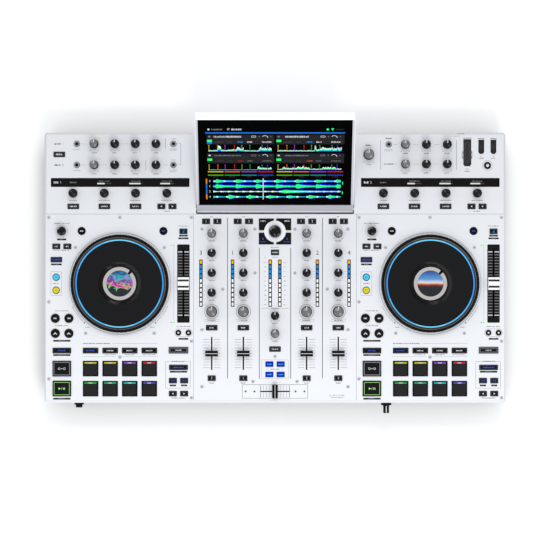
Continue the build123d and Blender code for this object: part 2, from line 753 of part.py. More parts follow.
with BuildPart() as sockets:
    jack_places = [(x, 0) for x in rear_jacks]
    with BuildSketch(socket_plane.offset(-ferrule_out)):
        with Locations(*jack_places):
            Circle(jack_ferrule)
    extrude(amount=ferrule_out + wall)
    with BuildSketch(socket_plane.offset(wall)):
        with Locations(*jack_places):
            Rectangle(*jack_block)
    extrude(amount=jack_depth)
    with BuildSketch(socket_plane.offset(-ferrule_out)):
        with Locations(*jack_places):
            Circle(jack_bore)
    extrude(amount=jack_depth, mode=Mode.SUBTRACT)
    for socket_x, socket_size in ((inlet_x, inlet_size), (network_x, network_size), (usb_x, usb_size)):
        with BuildSketch(socket_plane):
            with Locations((socket_x, 0)):
                Rectangle(socket_size[0] + 2 * socket_wall, socket_size[1] + 2 * socket_wall)
        extrude(amount=socket_reach)
        with BuildSketch(socket_plane):
            with Locations((socket_x, 0)):
                Rectangle(*socket_size)
        extrude(amount=socket_reach - socket_back, mode=Mode.SUBTRACT)
    with BuildSketch(socket_plane.offset(contact_start)):
        with Locations((inlet_x - mains_pin_spread, 0), (inlet_x + mains_pin_spread, 0),
                       (inlet_x, mains_pin_rise)):
            Rectangle(*mains_pin)
        with Locations((usb_x, 0)):
            Rectangle(*usb_tongue)
    extrude(amount=socket_reach - socket_back - contact_start)
    with BuildSketch(front_plane.offset(headphone_flange_out)):
        with Locations((headphone_x, headphone_z)):
            Circle(headphone_flange_radius)
    extrude(amount=-headphone_flange_out)
    for jack_x, jack_out in ((headphone_x, headphone_out), (small_jack_x, 0)):
        with BuildSketch(front_plane.offset(jack_out)):
            with Locations((jack_x, headphone_z)):
                Circle(headphone_barrel)
        extrude(amount=-jack_out - wall)
    with BuildSketch(front_plane.offset(-wall)):
        with Locations((headphone_x, headphone_z), (small_jack_x, headphone_z)):
            Rectangle(headphone_block, headphone_block)
    extrude(amount=-headphone_block_depth)
    with BuildSketch(front_plane.offset(headphone_out)):
        with Locations((headphone_x, headphone_z)):
            Circle(jack_bore)
    extrude(amount=-jack_depth, mode=Mode.SUBTRACT)
    with BuildSketch(front_plane):
        with Locations((small_jack_x, headphone_z)):
            Circle(small_jack_bore)
    extrude(amount=-small_jack_depth, mode=Mode.SUBTRACT)
sockets.part.label = "sockets"
export_step(sockets.part, "parts/sockets.step")

# ============================================================== electronics
board_centre_y = -10.0
board_size = (640.0, 330.0)
heat_sink = (60.0, 60.0)
heat_sink_height = 4.0
chip_size = (24.0, 24.0)
chip_height = 1.5
supply_at = (250.0, 100.0)
supply_size = (120.0, 70.0)
supply_height = 24.0

with BuildPart() as main_board:
    blocks([(0, board_centre_y)], board_size, board_top - board_thickness, board_top)
    blocks([(0, 60.0)], heat_sink, board_top, board_top + heat_sink_height)
    blocks([(-60.0, -60.0), (60.0, -60.0)], chip_size, board_top, board_top + chip_height)
main_board.part.label = "main_board"
export_step(main_board.part, "parts/main_board.step")

with BuildPart() as power_supply:
    blocks([supply_at], supply_size, foot_height + wall, foot_height + wall + supply_height)
power_supply.part.label = "power_supply"
export_step(power_supply.part, "parts/power_supply.step")

print("case centre y", round(body_y, 4), "front", round(front_tip + body_y, 3),
      "rear", round(rear_tip + body_y, 3))
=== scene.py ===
"""Looks of a four-channel DJ controller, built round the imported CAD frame.

Plan positions are millimetres from the centre of the case, +X right, +Y to the
rear. Heights are millimetres above the table. Form turns them into metres.
"""
import math
import random

import bpy
import numpy as np
from mathutils import Matrix, Vector


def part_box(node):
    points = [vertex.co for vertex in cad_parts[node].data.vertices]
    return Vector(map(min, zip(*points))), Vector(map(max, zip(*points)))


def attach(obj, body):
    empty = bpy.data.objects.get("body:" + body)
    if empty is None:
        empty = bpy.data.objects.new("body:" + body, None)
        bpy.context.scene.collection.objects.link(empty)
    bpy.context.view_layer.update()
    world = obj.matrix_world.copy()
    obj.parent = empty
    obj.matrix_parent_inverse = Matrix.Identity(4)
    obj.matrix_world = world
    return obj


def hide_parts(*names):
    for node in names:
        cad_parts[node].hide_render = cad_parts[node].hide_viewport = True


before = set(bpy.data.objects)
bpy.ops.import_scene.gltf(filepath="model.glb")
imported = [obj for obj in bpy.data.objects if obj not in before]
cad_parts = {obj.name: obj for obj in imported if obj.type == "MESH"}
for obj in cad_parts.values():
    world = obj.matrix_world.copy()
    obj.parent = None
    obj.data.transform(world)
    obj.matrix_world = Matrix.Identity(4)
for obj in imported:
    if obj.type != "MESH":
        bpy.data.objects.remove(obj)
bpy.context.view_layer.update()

MM = 0.001
shell_low, shell_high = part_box("top_shell")
CASE_Y = (shell_low[1] + shell_high[1]) / 2 / MM
TOP = shell_high[2] / MM       # upper face of the case
FOOT = TOP + 0.6               # where knobs, caps and wheels begin
INK = 0.06                     # half the thickness of a printed mark
DECK_X, DECK_Y = 245, -25      # centre of the right jog wheel
COLUMNS = (-100, -50, 50, 100)  # the mixer's four channels
SIDES = (("left", -1), ("right", 1))


# ============================================================ materials
def srgb(red, green, blue):
    """A display colour of 0 to 255 as linear light."""
    return tuple((value / 255) ** 2.2 for value in (red, green, blue)) + (1,)


def new_material(name):
    """A material, its shader, and functions that add a node and that wire one."""
    material = bpy.data.materials.new(name)
    material.use_nodes = True
    tree = material.node_tree

    def wire(node, values):
        for socket, value in values.items():
            if isinstance(value, bpy.types.NodeSocket):
                tree.links.new(value, node.inputs[socket])
            else:
                node.inputs[socket].default_value = value
        return node

    def add(kind, values, **settings):
        node = tree.nodes.new("ShaderNode" + kind)
        for setting, value in settings.items():
            setattr(node, setting, value)
        return wire(node, values)

    return material, tree.nodes["Principled BSDF"], add, wire


def surface(name, colour, roughness=0.5, variation=0.06, grain=900, bump=0.05, metallic=0, coat=0, glow=0,
            shine=0.5, painted_shade=0):
    """A procedural finish: two close tones, uneven roughness and a fine grain.

    The last argument paints shade on it: darker towards the rear of the case and on slopes and side walls.
    """
    material, shader, add, wire = new_material(name)
    place = add("TexCoord", {}).outputs["Object"]
    fine = add("TexNoise", {"Scale": grain, "Detail": 3, "Vector": place}).outputs["Fac"]
    broad = add("TexNoise", {"Scale": 14, "Detail": 4, "Vector": place}).outputs["Fac"]
    blend = add("Mix", {"Factor": 0.5, "A": fine, "B": broad}, data_type="FLOAT")
    tones = add("ValToRGB", {"Fac": blend.outputs["Result"]})
    for element, position, change in zip(tones.color_ramp.elements, (0.3, 0.7), (-variation, variation)):
        element.position = position
        element.color = tuple(min(1, c * (1 + change)) for c in srgb(*colour)[:3]) + (1,)
    tint = tones.outputs["Color"]
    # painted shade: darker towards the rear of the case and on slopes and side walls
    if painted_shade:
        spot = add("NewGeometry", {})
        axes = add("SeparateXYZ", {"Vector": spot.outputs["Position"]})
        along = add("MapRange", {"Value": axes.outputs["Y"], "From Min": -0.24, "From Max": 0.24, "To Min": 1,
                                 "To Max": 1 - painted_shade})
        facing = add("VectorMath", {0: spot.outputs["Normal"], 1: (0, -0.5, 1)}, operation="DOT_PRODUCT")
        edge = add("MapRange", {"Value": facing.outputs["Value"], "From Min": 0.75, "From Max": 0.95,
                                "To Min": 0.84, "To Max": 1})
        both = add("Math", {0: along.outputs["Result"], 1: edge.outputs["Result"]}, operation="MULTIPLY")
        tint = add("HueSaturation", {"Value": both.outputs["Value"], "Color": tint}).outputs["Color"]
    unlit = add("HueSaturation", {"Value": 0.3, "Color": tint}).outputs["Color"] if glow else tint
    rough = add("MapRange", {"Value": broad, "To Min": max(0.03, roughness - 0.07),
                             "To Max": min(1, roughness + 0.07)})
    wire(shader, {"Base Color": unlit, "Roughness": rough.outputs["Result"], "Metallic": metallic,
                  "Coat Weight": coat, "Coat Roughness": 0.12, "Specular IOR Level": shine})
    if bump:
        relief = add("Bump", {"Strength": bump, "Distance": 0.0002, "Height": fine})
        wire(shader, {"Normal": relief.outputs["Normal"]})
    if glow:
        wire(shader, {"Emission Color": tint, "Emission Strength": glow})
    return material


def lamp(name, colour, glow):
    """A lit legend, lens or screen area."""
    return surface(name, colour, variation=0.05, bump=0, glow=glow, shine=0.1)


def ink(name, colour, variation=0.06, shine=0.08):
    """A printed mark."""
    return surface(name, colour, 0.55, variation, bump=0, shine=shine)


# the white panel carries painted shade: darker towards the rear and on its bevels
white_panel = surface("white_panel_paint", (225, 227, 231), 0.42, 0.012, 1500, 0.06, painted_shade=0.2)
white_gloss = surface("white_gloss", (238, 239, 243), 0.32, 0.012, 900, 0.02)
# grey painted shade for the display's front face frame and sloped band; the housing itself is white
face_frame_painted_shade = surface("face_frame_painted_shade", (190, 191, 198), 0.45, 0.03, 1200, 0.04)
slope_band_painted_shade = surface("slope_band_painted_shade", (180, 181, 190), 0.45, 0.03, 1200, 0.04)
grey_case = surface("grey_case", (62, 63, 66), 0.6, 0.1, 1100, 0.25, shine=0.08)
black_plastic = surface("black_plastic", (24, 24, 25), 0.45, 0.15, 1400, 0.1, shine=0.08)
black_gloss = surface("black_gloss", (12, 12, 13), 0.2, 0.15, bump=0, shine=0.12)
encoder_gloss = surface("encoder_gloss", (14, 14, 15), 0.16, 0.15, bump=0, coat=0.12, shine=0.12)
knob_grip = surface("knob_grip", (22, 22, 23), 0.5, 0.15, 1700, 0.12, shine=0.08)
knob_top = surface("knob_top", (30, 30, 32), 0.38, 0.12, 1500, 0.06, shine=0.1)
knob_glint = surface("knob_glint", (62, 62, 65), 0.38, 0.12, 1500, 0.06, shine=0.1)
grey_top = surface("grey_knob_top", (100, 100, 101), 0.4, 0.1, 2500, 0.1, 0.3)
grey_glint = surface("grey_knob_glint", (138, 138, 140), 0.4, 0.1, 2500, 0.1, 0.3)
screw_zinc = surface("screw_zinc", (176, 178, 182), 0.5, 0.08, 1500, 0.06)
pad_rubber = surface("pad_rubber", (40, 39, 40), 0.7, 0.08, 2100, 0.3, shine=0.08)
jog_top = surface("jog_top", (29, 29, 30), 0.62, 0.08, 2400, 0.12, shine=0.06)
jog_metal = surface("jog_rim_metal", (88, 84, 82), 0.4, 0.6, 40, 0, 0.4)
dish_faint_painted_highlight = surface("dish_faint_painted_highlight", (38, 38, 38), 0.55, 0.15, 1200, shine=0.08)
dish_painted_highlight = surface("dish_painted_highlight", (46, 46, 46), 0.55, 0.15, 1200, shine=0.08)
steel = surface("steel", (150, 151, 153), 0.3, 0.08, 1500, 0.06, 0.9)
foot_rubber = surface("foot_rubber", (26, 26, 27), 0.85, 0.1, 900, 0.4, shine=0.08)
board_green = surface("board_green", (20, 92, 52), 0.4, 0.15, 700, 0.1)
screen_black = surface("screen_black", (4, 4, 5), 0.3, 0.1, 500, 0, shine=0.02)
port_grey = surface("port_grey", (66, 66, 68), 0.6, 0.1, 900, 0.15, shine=0.1)
ink_black = ink("ink_black", (26, 26, 28))
ink_dark = ink("ink_dark", (44, 45, 48))
ink_grey = ink("ink_grey", (84, 86, 91), shine=0.5)
ink_light = ink("ink_light", (132, 134, 140), 0.04, 0.5)
ladder_grey = ink("ladder_grey", (112, 113, 116), 0.04, 0.5)
cap_line = surface("cap_line", (196, 196, 199), 0.5, 0.03, bump=0)
ink_white = surface("ink_white", (240, 240, 240), 0.5, 0.02, bump=0)
seam_shadow = surface("seam_shadow", (128, 130, 136), 0.8, 0.05, bump=0)
scoop_shade = surface("scoop_shade", (196, 198, 203), 0.8, 0.03, bump=0)
lamp_white = lamp("lamp_white", (222, 223, 226), 0.65)
lamp_ring = lamp("lamp_ring", (196, 192, 190), 0.55)
lamp_dim = lamp("lamp_dim", (150, 150, 154), 0.35)
lamp_grey = lamp("lamp_grey", (82, 82, 88), 0.25)
lamp_blue = lamp("lamp_blue", (58, 88, 196), 0.8)
lamp_royal = lamp("lamp_royal", (14, 44, 178), 0.85)
lamp_sky = lamp("lamp_sky", (16, 140, 220), 0.85)
lamp_jog = lamp("lamp_jog", (52, 150, 238), 0.85)
lamp_jog_pale = lamp("lamp_jog_pale", (112, 198, 232), 0.85)
lamp_jog_mid = lamp("lamp_jog_mid", (80, 176, 238), 0.85)
lamp_yellow = lamp("lamp_yellow", (226, 214, 44), 0.7)
lamp_cyan = lamp("lamp_cyan", (66, 192, 236), 0.85)
lamp_amber = lamp("lamp_amber", (240, 172, 20), 0.9)
lamp_led_green = lamp("lamp_led_green", (110, 220, 80), 1.2)
lamp_play = lamp("lamp_play", (20, 84, 18), 0.6)
lamp_play_text = lamp("lamp_play_text", (160, 225, 130), 1)
PAD_COLOURS = (
    (205, 205, 45), (208, 200, 45), (150, 75, 215), (215, 45, 62),
    (52, 185, 62), (46, 180, 120), (40, 196, 196), (92, 82, 205),
)
pad_lamps = [lamp("pad_lamp_" + str(i + 1), c, 0.5) for i, c in enumerate(PAD_COLOURS)]


# ========================================================= mesh building
def polar(x, y, radius, degrees):
    """The point at a radius and an angle from another."""
    angle = math.radians(degrees)
    return x + radius * math.cos(angle), y + radius * math.sin(angle)


def circle(radius, count=48):
    """Points round a circle, anticlockwise."""
    return [polar(0, 0, radius, 360 * i / count) for i in range(count)]


def rounded(width, depth, corner, steps=4):
    """Points round a rectangle with rounded corners, anticlockwise."""
    points = []
    for turn, (side_x, side_y) in enumerate(((1, 1), (-1, 1), (-1, -1), (1, -1))):
        for step in range(steps + 1):
            points.append(polar(side_x * (width / 2 - corner), side_y * (depth / 2 - corner), corner,
                                90 * (turn + step / steps)))
    return points


def ribbed(depth, ribs, per_rib=6):
    """Points round a knurled grip of radius 1."""
    count = ribs * per_rib
    return [polar(0, 0, 1 - depth * (0.5 + 0.5 * math.cos(math.tau * i / per_rib)) ** 2, 360 * i / count)
            for i in range(count)]


def inset(points, distance):
    """The outline drawn inwards by a distance."""
    drawn = []
    for i, here in enumerate(points):
        before, after = points[i - 1], points[(i + 1) % len(points)]
        first = Vector((here[0] - before[0], here[1] - before[1])).normalized()
        second = Vector((after[0] - here[0], after[1] - here[1])).normalized()
        normal = Vector((-first.y - second.y, first.x + second.x))
        if normal.length < 1e-6:
            drawn.append(here)
            continue
        normal.normalize()
        reach = distance / max(0.5, normal.dot(Vector((-first.y, first.x))))
        drawn.append((here[0] + normal.x * reach, here[1] + normal.y * reach))
    return drawn


def moved(points, x, y, turn=0):
    """An outline turned, then moved."""
    c, s = math.cos(turn), math.sin(turn)
    return [(x + px * c - py * s, y + px * s + py * c) for px, py in points]


class Form:
    """Closed solids gathered in one mesh, each in its own material."""

    def __init__(self, name, plane=None, level=TOP):
        self.name = name
        self.plane = plane or Matrix.Translation((0, CASE_Y * MM, 0))
        self.level = level  # height of flat marks that name none
        self.points = []
        self.faces = []
        self.indices = []
        self.materials = []

    def _add(self, face, material):
        if material not in self.materials:
            self.materials.append(material)
        self.faces.append(face)
        self.indices.append(self.materials.index(material))

    def skin(self, rings, material, ring_shaped=False):
        """Walls between equal rings, with a cap at each end unless ring shaped."""
        start = len(self.points)
        count = len(rings[0])
        for ring in rings:
            self.points.extend(ring)
        for layer in range(len(rings) if ring_shaped else len(rings) - 1):
            low = start + layer * count
            high = start + (layer + 1) % len(rings) * count
            for i in range(count):
                j = (i + 1) % count
                self._add((low + i, low + j, high + j, high + i), material)
        if not ring_shaped:
            last = start + (len(rings) - 1) * count
            self._add(tuple(start + i for i in reversed(range(count))), material)
            self._add(tuple(last + i for i in range(count)), material)

    def slab(self, outline, bottom, top, material, bevel=0, steps=3):
        """An outline raised to a solid with a rounded upper edge."""
        rings = [[(x, y, bottom) for x, y in outline]]
        if not bevel:
            rings.append([(x, y, top) for x, y in outline])
        for step in range(steps + 1 if bevel else 0):
            angle = math.pi / 2 * step / steps
            ring = inset(outline, bevel * (1 - math.cos(angle)))
            rings.append([(x, y, top - bevel + bevel * math.sin(angle)) for x, y in ring])
        self.skin(rings, material)

    def block(self, x, y, width, depth, bottom, top, material, corner=0.8, bevel=0):
        self.slab(moved(rounded(width, depth, corner), x, y), bottom, top, material, bevel)

    def disc(self, x, y, radius, bottom, top, material, bevel=0, count=40):
        self.slab(moved(circle(radius, count), x, y), bottom, top, material, bevel)

    def lathe(self, x, y, profile, material, count=72, outline=None, ring_shaped=False):
        """A turned solid: profile is (radius, height) from the foot to the crown."""
        unit = outline or circle(1, count)
        self.skin([[(x + px * r, y + py * r, z) for px, py in unit] for r, z in profile], material, ring_shaped)

    def band(self, x, y, inner, outer, bottom, top, material, count=72, bevel=0):
        """A ring with a square or bevelled section."""
        profile = [(inner, bottom), (outer, bottom), (outer, top - bevel)]
        if bevel:
            profile += [(outer - bevel, top), (inner + bevel, top)]
        self.lathe(x, y, profile + [(inner, top - bevel)], material, count, ring_shaped=True)

    def beam(self, start, end, profile, material):
        """A profile drawn out along X."""
        self.skin([[(x, v, w) for v, w in profile] for x in (start, end)], material)

    def sweep(self, x, y, section, start, end, material, steps):
        """A section of (radius, height) swept round a centre, angles in degrees."""
        self.skin([[polar(x, y, r, start + (end - start) * step / steps) + (z,) for r, z in section]
                   for step in range(steps + 1)], material)

    def ribbon(self, xs, base, heights, below, top, material):
        """A flat solid over stations, between base - height * below and base + height."""
        self.skin([[(x, base - h * below, -INK), (x, base - h * below, top), (x, base + h, top),
                    (x, base + h, -INK)] for x, h in zip(xs, heights)], material)

    def flat(self, outline, material, z=None, rise=INK):
        """A flat printed or lit shape on a surface."""
        z = self.level if z is None else z
        self.slab(outline, z - INK, z + rise, material)

    def bar(self, x, y, width, depth, material, z=None, turn=0, rise=INK):
        half_w, half_d = width / 2, depth / 2
        outline = [(-half_w, -half_d), (half_w, -half_d), (half_w, half_d), (-half_w, half_d)]
        self.flat(moved(outline, x, y, turn), material, z, rise)

    def triangle(self, x, y, size, degrees, material, z=None):
        """A filled triangle; 0 degrees points right."""
        outline = [(size * 0.6, 0), (-size * 0.4, size * 0.52), (-size * 0.4, -size * 0.52)]
        self.flat(moved(outline, x, y, math.radians(degrees)), material, z)

    def arc(self, x, y, radius, width, start, end, material, z=None, steps=24):
        z = self.level if z is None else z
        inner, outer = radius - width / 2, radius + width / 2
        self.sweep(x, y, [(inner, z - INK), (inner, z + INK), (outer, z + INK), (outer, z - INK)], start, end,
                   material, steps)

    def ring_line(self, x, y, radius, width, material, z=None, count=72):
        z = self.level if z is None else z
        self.band(x, y, radius - width / 2, radius + width / 2, z - INK, z + INK, material, count)

    def frame_line(self, x, y, width, depth, corner, thickness, material, z=None):
        """A thin printed outline of a rounded rectangle."""
        z = self.level if z is None else z
        outer = moved(rounded(width, depth, corner), x, y)
        inner = inset(outer, thickness)
        self.skin([[(px, py, z + side * INK) for px, py in points]
                   for points, side in ((inner, -1), (outer, -1), (outer, 1), (inner, 1))], material, True)

    def label(self, x, y, width, height, material, z=None):
        """Lettering stood in for by short strokes that say nothing."""
        dice = random.Random(round(x * 31 + y * 17 + width * 7))
        pen = x - width / 2
        while pen < x + width / 2 - 0.4:
            stroke = min(dice.choice((0.45, 0.7, 0.95)), x + width / 2 - pen)
            tall = height * dice.choice((1, 1, 0.72))
            self.bar(pen + stroke / 2, y - (height - tall) / 2, stroke, tall, material, z)
            pen += stroke + dice.choice((0.3, 0.35, 0.9))

    def numeral(self, x, y, size, text, material, z=None):
        """A plain numeral."""
        z = self.level if z is None else z
        curve = bpy.data.curves.new("numeral", "FONT")
        curve.body = text
        curve.size = size
        curve.extrude = INK
        curve.align_x = "CENTER"
        curve.align_y = "CENTER"
        curve.resolution_u = 3
        holder = bpy.data.objects.new("numeral", curve)
        mesh = bpy.data.meshes.new_from_object(holder)
        start = len(self.points)
        self.points.extend((x + v.co.x, y + v.co.y, z + v.co.z) for v in mesh.vertices)
        for face in mesh.polygons:
            self._add(tuple(start + i for i in face.vertices), material)
        bpy.data.objects.remove(holder)
        bpy.data.curves.remove(curve)
        bpy.data.meshes.remove(mesh)

    def done(self, body, replaces=(), smooth=40):
        """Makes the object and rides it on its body."""
        mesh = bpy.data.meshes.new(self.name)
        placed = [self.plane @ Vector((x * MM, y * MM, z * MM)) for x, y, z in self.points]
        mesh.from_pydata([tuple(p) for p in placed], [], self.faces)
        for material in self.materials:
            mesh.materials.append(material)
        mesh.polygons.foreach_set("material_index", self.indices)
        mesh.validate()
        mesh.shade_smooth()
        mesh.set_sharp_from_angle(angle=math.radians(smooth))
        piece = bpy.data.objects.new(self.name, mesh)
        bpy.context.scene.collection.objects.link(piece)
        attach(piece, body)
        if replaces:
            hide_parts(*replaces)


def solids(node):
    """Each separate solid of a CAD node as (x, y, width, depth, bottom, top)."""
    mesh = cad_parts[node].data
    corners = np.array([v.co[:] for v in mesh.vertices]) / MM
    ids = {}
    index = [ids.setdefault(tuple(np.round(corner, 2)), len(ids)) for corner in corners]
    parent = list(range(len(ids)))

    def root(i):
        while parent[i] != i:
            parent[i] = parent[parent[i]]
            i = parent[i]
        return i

    for face in mesh.polygons:
        first = root(index[face.vertices[0]])
        for v in face.vertices[1:]:
            parent[root(index[v])] = first
    groups = {}
    for corner, i in ids.items():
        groups.setdefault(root(i), []).append(corner)
    found = []
    for group in groups.values():
        low, high = np.min(group, 0), np.max(group, 0)
        x, y, _ = (low + high) / 2
        width, depth, _ = high - low
        found.append(tuple(float(value) for value in (x, y - CASE_Y, width, depth, low[2], high[2])))
    return sorted(found, key=lambda s: (-round(s[1]), round(s[0])))


# ======================================================= kept CAD nodes
for node, material in (
    ("top_shell", white_panel), ("deck_plates", white_panel), ("mixer_plate", white_panel),
    ("bottom_case", grey_case), ("rubber_feet", foot_rubber), ("main_board", board_green),
    ("power_supply", steel), ("sockets", black_plastic), ("media_ports", port_grey),
    ("fader_units", black_plastic), ("effect_displays", black_gloss), ("display_glass", screen_black),
):
    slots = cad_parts[node].data.materials
    slots.clear()
    slots.append(material)


# ================================================================ knobs
def knob(form, x, y, radius, top, style):
    """A knurled knob; the pointer stands at twelve o'clock."""
    height = top - TOP
    form.lathe(x, y, [(radius, FOOT), (radius, FOOT + 0.8), (radius * 0.985, FOOT + 1.2),
                      (radius * 0.95, TOP + height * 0.82), (radius * 0.93, TOP + height * 0.9)],
               knob_grip, outline=ribbed(0.05, 22))
    crown, glint, share = (grey_top, grey_glint, 0.86) if style == "grey" else (knob_top, knob_glint, 0.84)
    crown_radius = radius * share
    form.lathe(x, y, [(radius * 0.93, TOP + height * 0.88), (radius * 0.925, TOP + height * 0.94),
                      (crown_radius + 0.15, top - 0.35)], knob_grip)
    form.lathe(x, y, [(crown_radius, top - 0.9), (crown_radius, top - 0.3), (crown_radius - 0.25, top - 0.08),
                      (crown_radius * 0.6, top - 0.06)], crown)
    # two wedges of painted highlight on the crown
    for middle in (-52, 128):
        wedge = [polar(x, y, 0.12 * crown_radius, middle)]
        wedge += [polar(x, y, 0.9 * crown_radius, middle + turn) for turn in (-22, -8, 8, 22)]
        form.slab(wedge, top - 0.3, top - 0.05, glint)
    if style != "plain":
        form.block(x, y + radius * 0.58, 1.3, radius * 0.62, top - 0.3, top, lamp_white, 0.3)
        form.block(x, y + radius * 0.955, 1.3, 0.5, TOP + height * 0.55, top - 0.6, lamp_white, 0.2)


def turned(node, body, style="black", name=None, grey_spans=()):
    """Replaces a node's knobs with detailed ones; returns each one's x, y and radius."""
    form = Form(name or node + "_cap")
    found = []
    for x, y, width, depth, bottom, top in solids(node):
        is_grey = any(low < x < high for low, high in grey_spans)
        knob(form, x, y, width / 2, top, "grey" if is_grey else style)
        form.disc(x, y, 3, bottom, TOP + 0.8, steel, count=24)
        found.append((x, y, width / 2))
    form.done(body, [node])
    return found


LEVEL_KNOBS = []
TONE_KNOBS = []
FILTER_KNOBS = []
for number in "1234":
    channel = "channel_" + number
    LEVEL_KNOBS += turned(channel + "_level_knob", channel + "_level", "grey")
    for tone in ("_high", "_mid", "_low"):
        TONE_KNOBS += turned(channel + tone + "_knob", channel + tone)
    FILTER_KNOBS += turned(channel + "_filter_knob", channel + "_filter", "grey")
TONE_KNOBS += turned("cue_mix_knob", "cue_mix")
TONE_KNOBS += turned("cue_level_knob", "cue_level", "grey")
main_level = turned("main_level_knob", "main_level", "grey")
SOURCE_KNOBS = turned("source_knobs", "case", name="source_knob_caps",
                      grey_spans=((-400, -270), (200, 210))) + main_level
EFFECT_KNOBS = turned("effect_encoders", "case", "plain", name="effect_encoder_caps")


def push_encoder(node, body, dish):
    """A push-and-turn encoder with a shallow glossy dish on top."""
    x, y, width, depth, bottom, top = solids(node)[0]
    radius = width / 2
    form = Form(node + "_cap")
    form.lathe(x, y, [(radius, FOOT), (radius, FOOT + 1), (radius * 0.96, top - 2.6),
                      (radius * 0.93, top - 1.4)], knob_grip, outline=ribbed(0.04, 30))
    form.lathe(x, y, [(radius * 0.93, top - 1.8), (radius * 0.9, top - 0.6), (radius * 0.8, top),
                      (radius * 0.72, top - 0.1), (radius * 0.6, top - dish * 0.7), (radius * 0.35, top - dish),
                      (0.4, top - dish * 1.05)], encoder_gloss)
    # two arcs of painted highlight on the glossy dish
    form.arc(x, y, radius * 0.76, radius * 0.13, 100, 165, grey_glint, top - 0.02, 12)
    form.arc(x, y, radius * 0.76, radius * 0.1, -60, -25, grey_top, top - 0.02, 12)
    form.disc(x, y, 3, bottom, TOP + 0.8, steel, count=24)
    form.done(body, [node])
    return x, y


browse_x, browse_y = push_encoder("browse_encoder", "browse", 1.2)
for side, _ in SIDES:
    push_encoder(side + "_loop_encoder", side + "_loop", 0.8)

# the contour knob on the front: x right, y up, z towards the front
contour_low, contour_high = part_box("contour_knob")
contour_plane = (
    Matrix.Translation(((contour_low[0] + contour_high[0]) / 2, shell_low[1],
                        (contour_low[2] + contour_high[2]) / 2)) @ Matrix.Rotation(math.radians(90), 4, "X"))
reach = (shell_low[1] - contour_low[1]) / MM
contour = Form("contour_knob_cap", contour_plane)
contour.lathe(0, 0, [(3, -12), (3, 0.5)], steel, 24)
contour.lathe(0, 0, [(7.6, 0.5), (8.2, 0.9), (8.2, 3.6), (7.4, 4.6), (5.2, 5)], knob_grip,
              outline=ribbed(0.03, 26))
contour.lathe(0, 0, [(4.7, 4.6), (4.7, reach - 1), (4.3, reach - 0.3), (3.8, reach)], knob_grip,
              outline=ribbed(0.05, 16))
contour.block(0, 4.5, 1.1, 0.6, 5.4, reach - 1.2, ink_white, 0.2)
contour.block(0, 2.6, 1.1, 3.6, reach - 0.3, reach, ink_white, 0.2)
contour.done("contour", ["contour_knob"])


# ================================================================ jogs
def screen_art(name, x, y, stops, swirl):
    """A generic glowing picture: bands of colour, broken up by turbulence."""
    material, shader, add, wire = new_material(name)
    centre = add("Mapping", {}, vector_type="TEXTURE")
    wire(centre, {"Location": (x * MM, (y + CASE_Y) * MM, 0), "Scale": (0.04, 0.04, 0.04),
                  "Vector": add("TexCoord", {}).outputs["Object"]})
    place = centre.outputs["Vector"]
    cloud = add("TexNoise", {"Scale": 2.6, "Detail": 5, "Distortion": 1.4 * swirl, "Vector": place})
    split = add("SeparateXYZ", {"Vector": place})
    lift = add("Math", {0: cloud.outputs["Fac"], 1: swirl, 2: split.outputs["Y"]}, operation="MULTIPLY_ADD")
    offset = add("Math", {0: lift.outputs["Value"], 1: 0.5 - 0.5 * swirl}, operation="ADD")
    ramp = add("ValToRGB", {"Fac": offset.outputs["Value"]})
    elements = ramp.color_ramp.elements
    for element, (position, colour) in zip(elements, (stops[0], stops[-1])):
        element.position, element.color = position, srgb(*colour)
    for position, colour in stops[1:-1]:
        elements.new(position).color = srgb(*colour)
    wire(shader, {"Emission Color": ramp.outputs["Color"], "Emission Strength": 0.85, "Roughness": 0.15,
                  "Base Color": (0.02, 0.02, 0.025, 1), "Specular IOR Level": 0.1})
    return material


NEON_STOPS = (
    (0, (8, 16, 22)), (0.34, (10, 24, 40)), (0.38, (40, 225, 150)), (0.43, (235, 150, 60)),
    (0.48, (225, 40, 200)), (0.54, (60, 50, 130)), (0.60, (30, 120, 160)), (0.68, (215, 60, 225)),
    (0.76, (40, 190, 180)), (0.86, (40, 150, 190)), (1, (20, 80, 130)),
)
HORIZON_STOPS = (
    (0, (4, 5, 14)), (0.34, (10, 10, 26)), (0.42, (70, 25, 40)), (0.48, (225, 105, 45)),
    (0.52, (250, 215, 190)), (0.57, (205, 225, 250)), (0.66, (95, 160, 225)), (1, (25, 70, 150)),
)

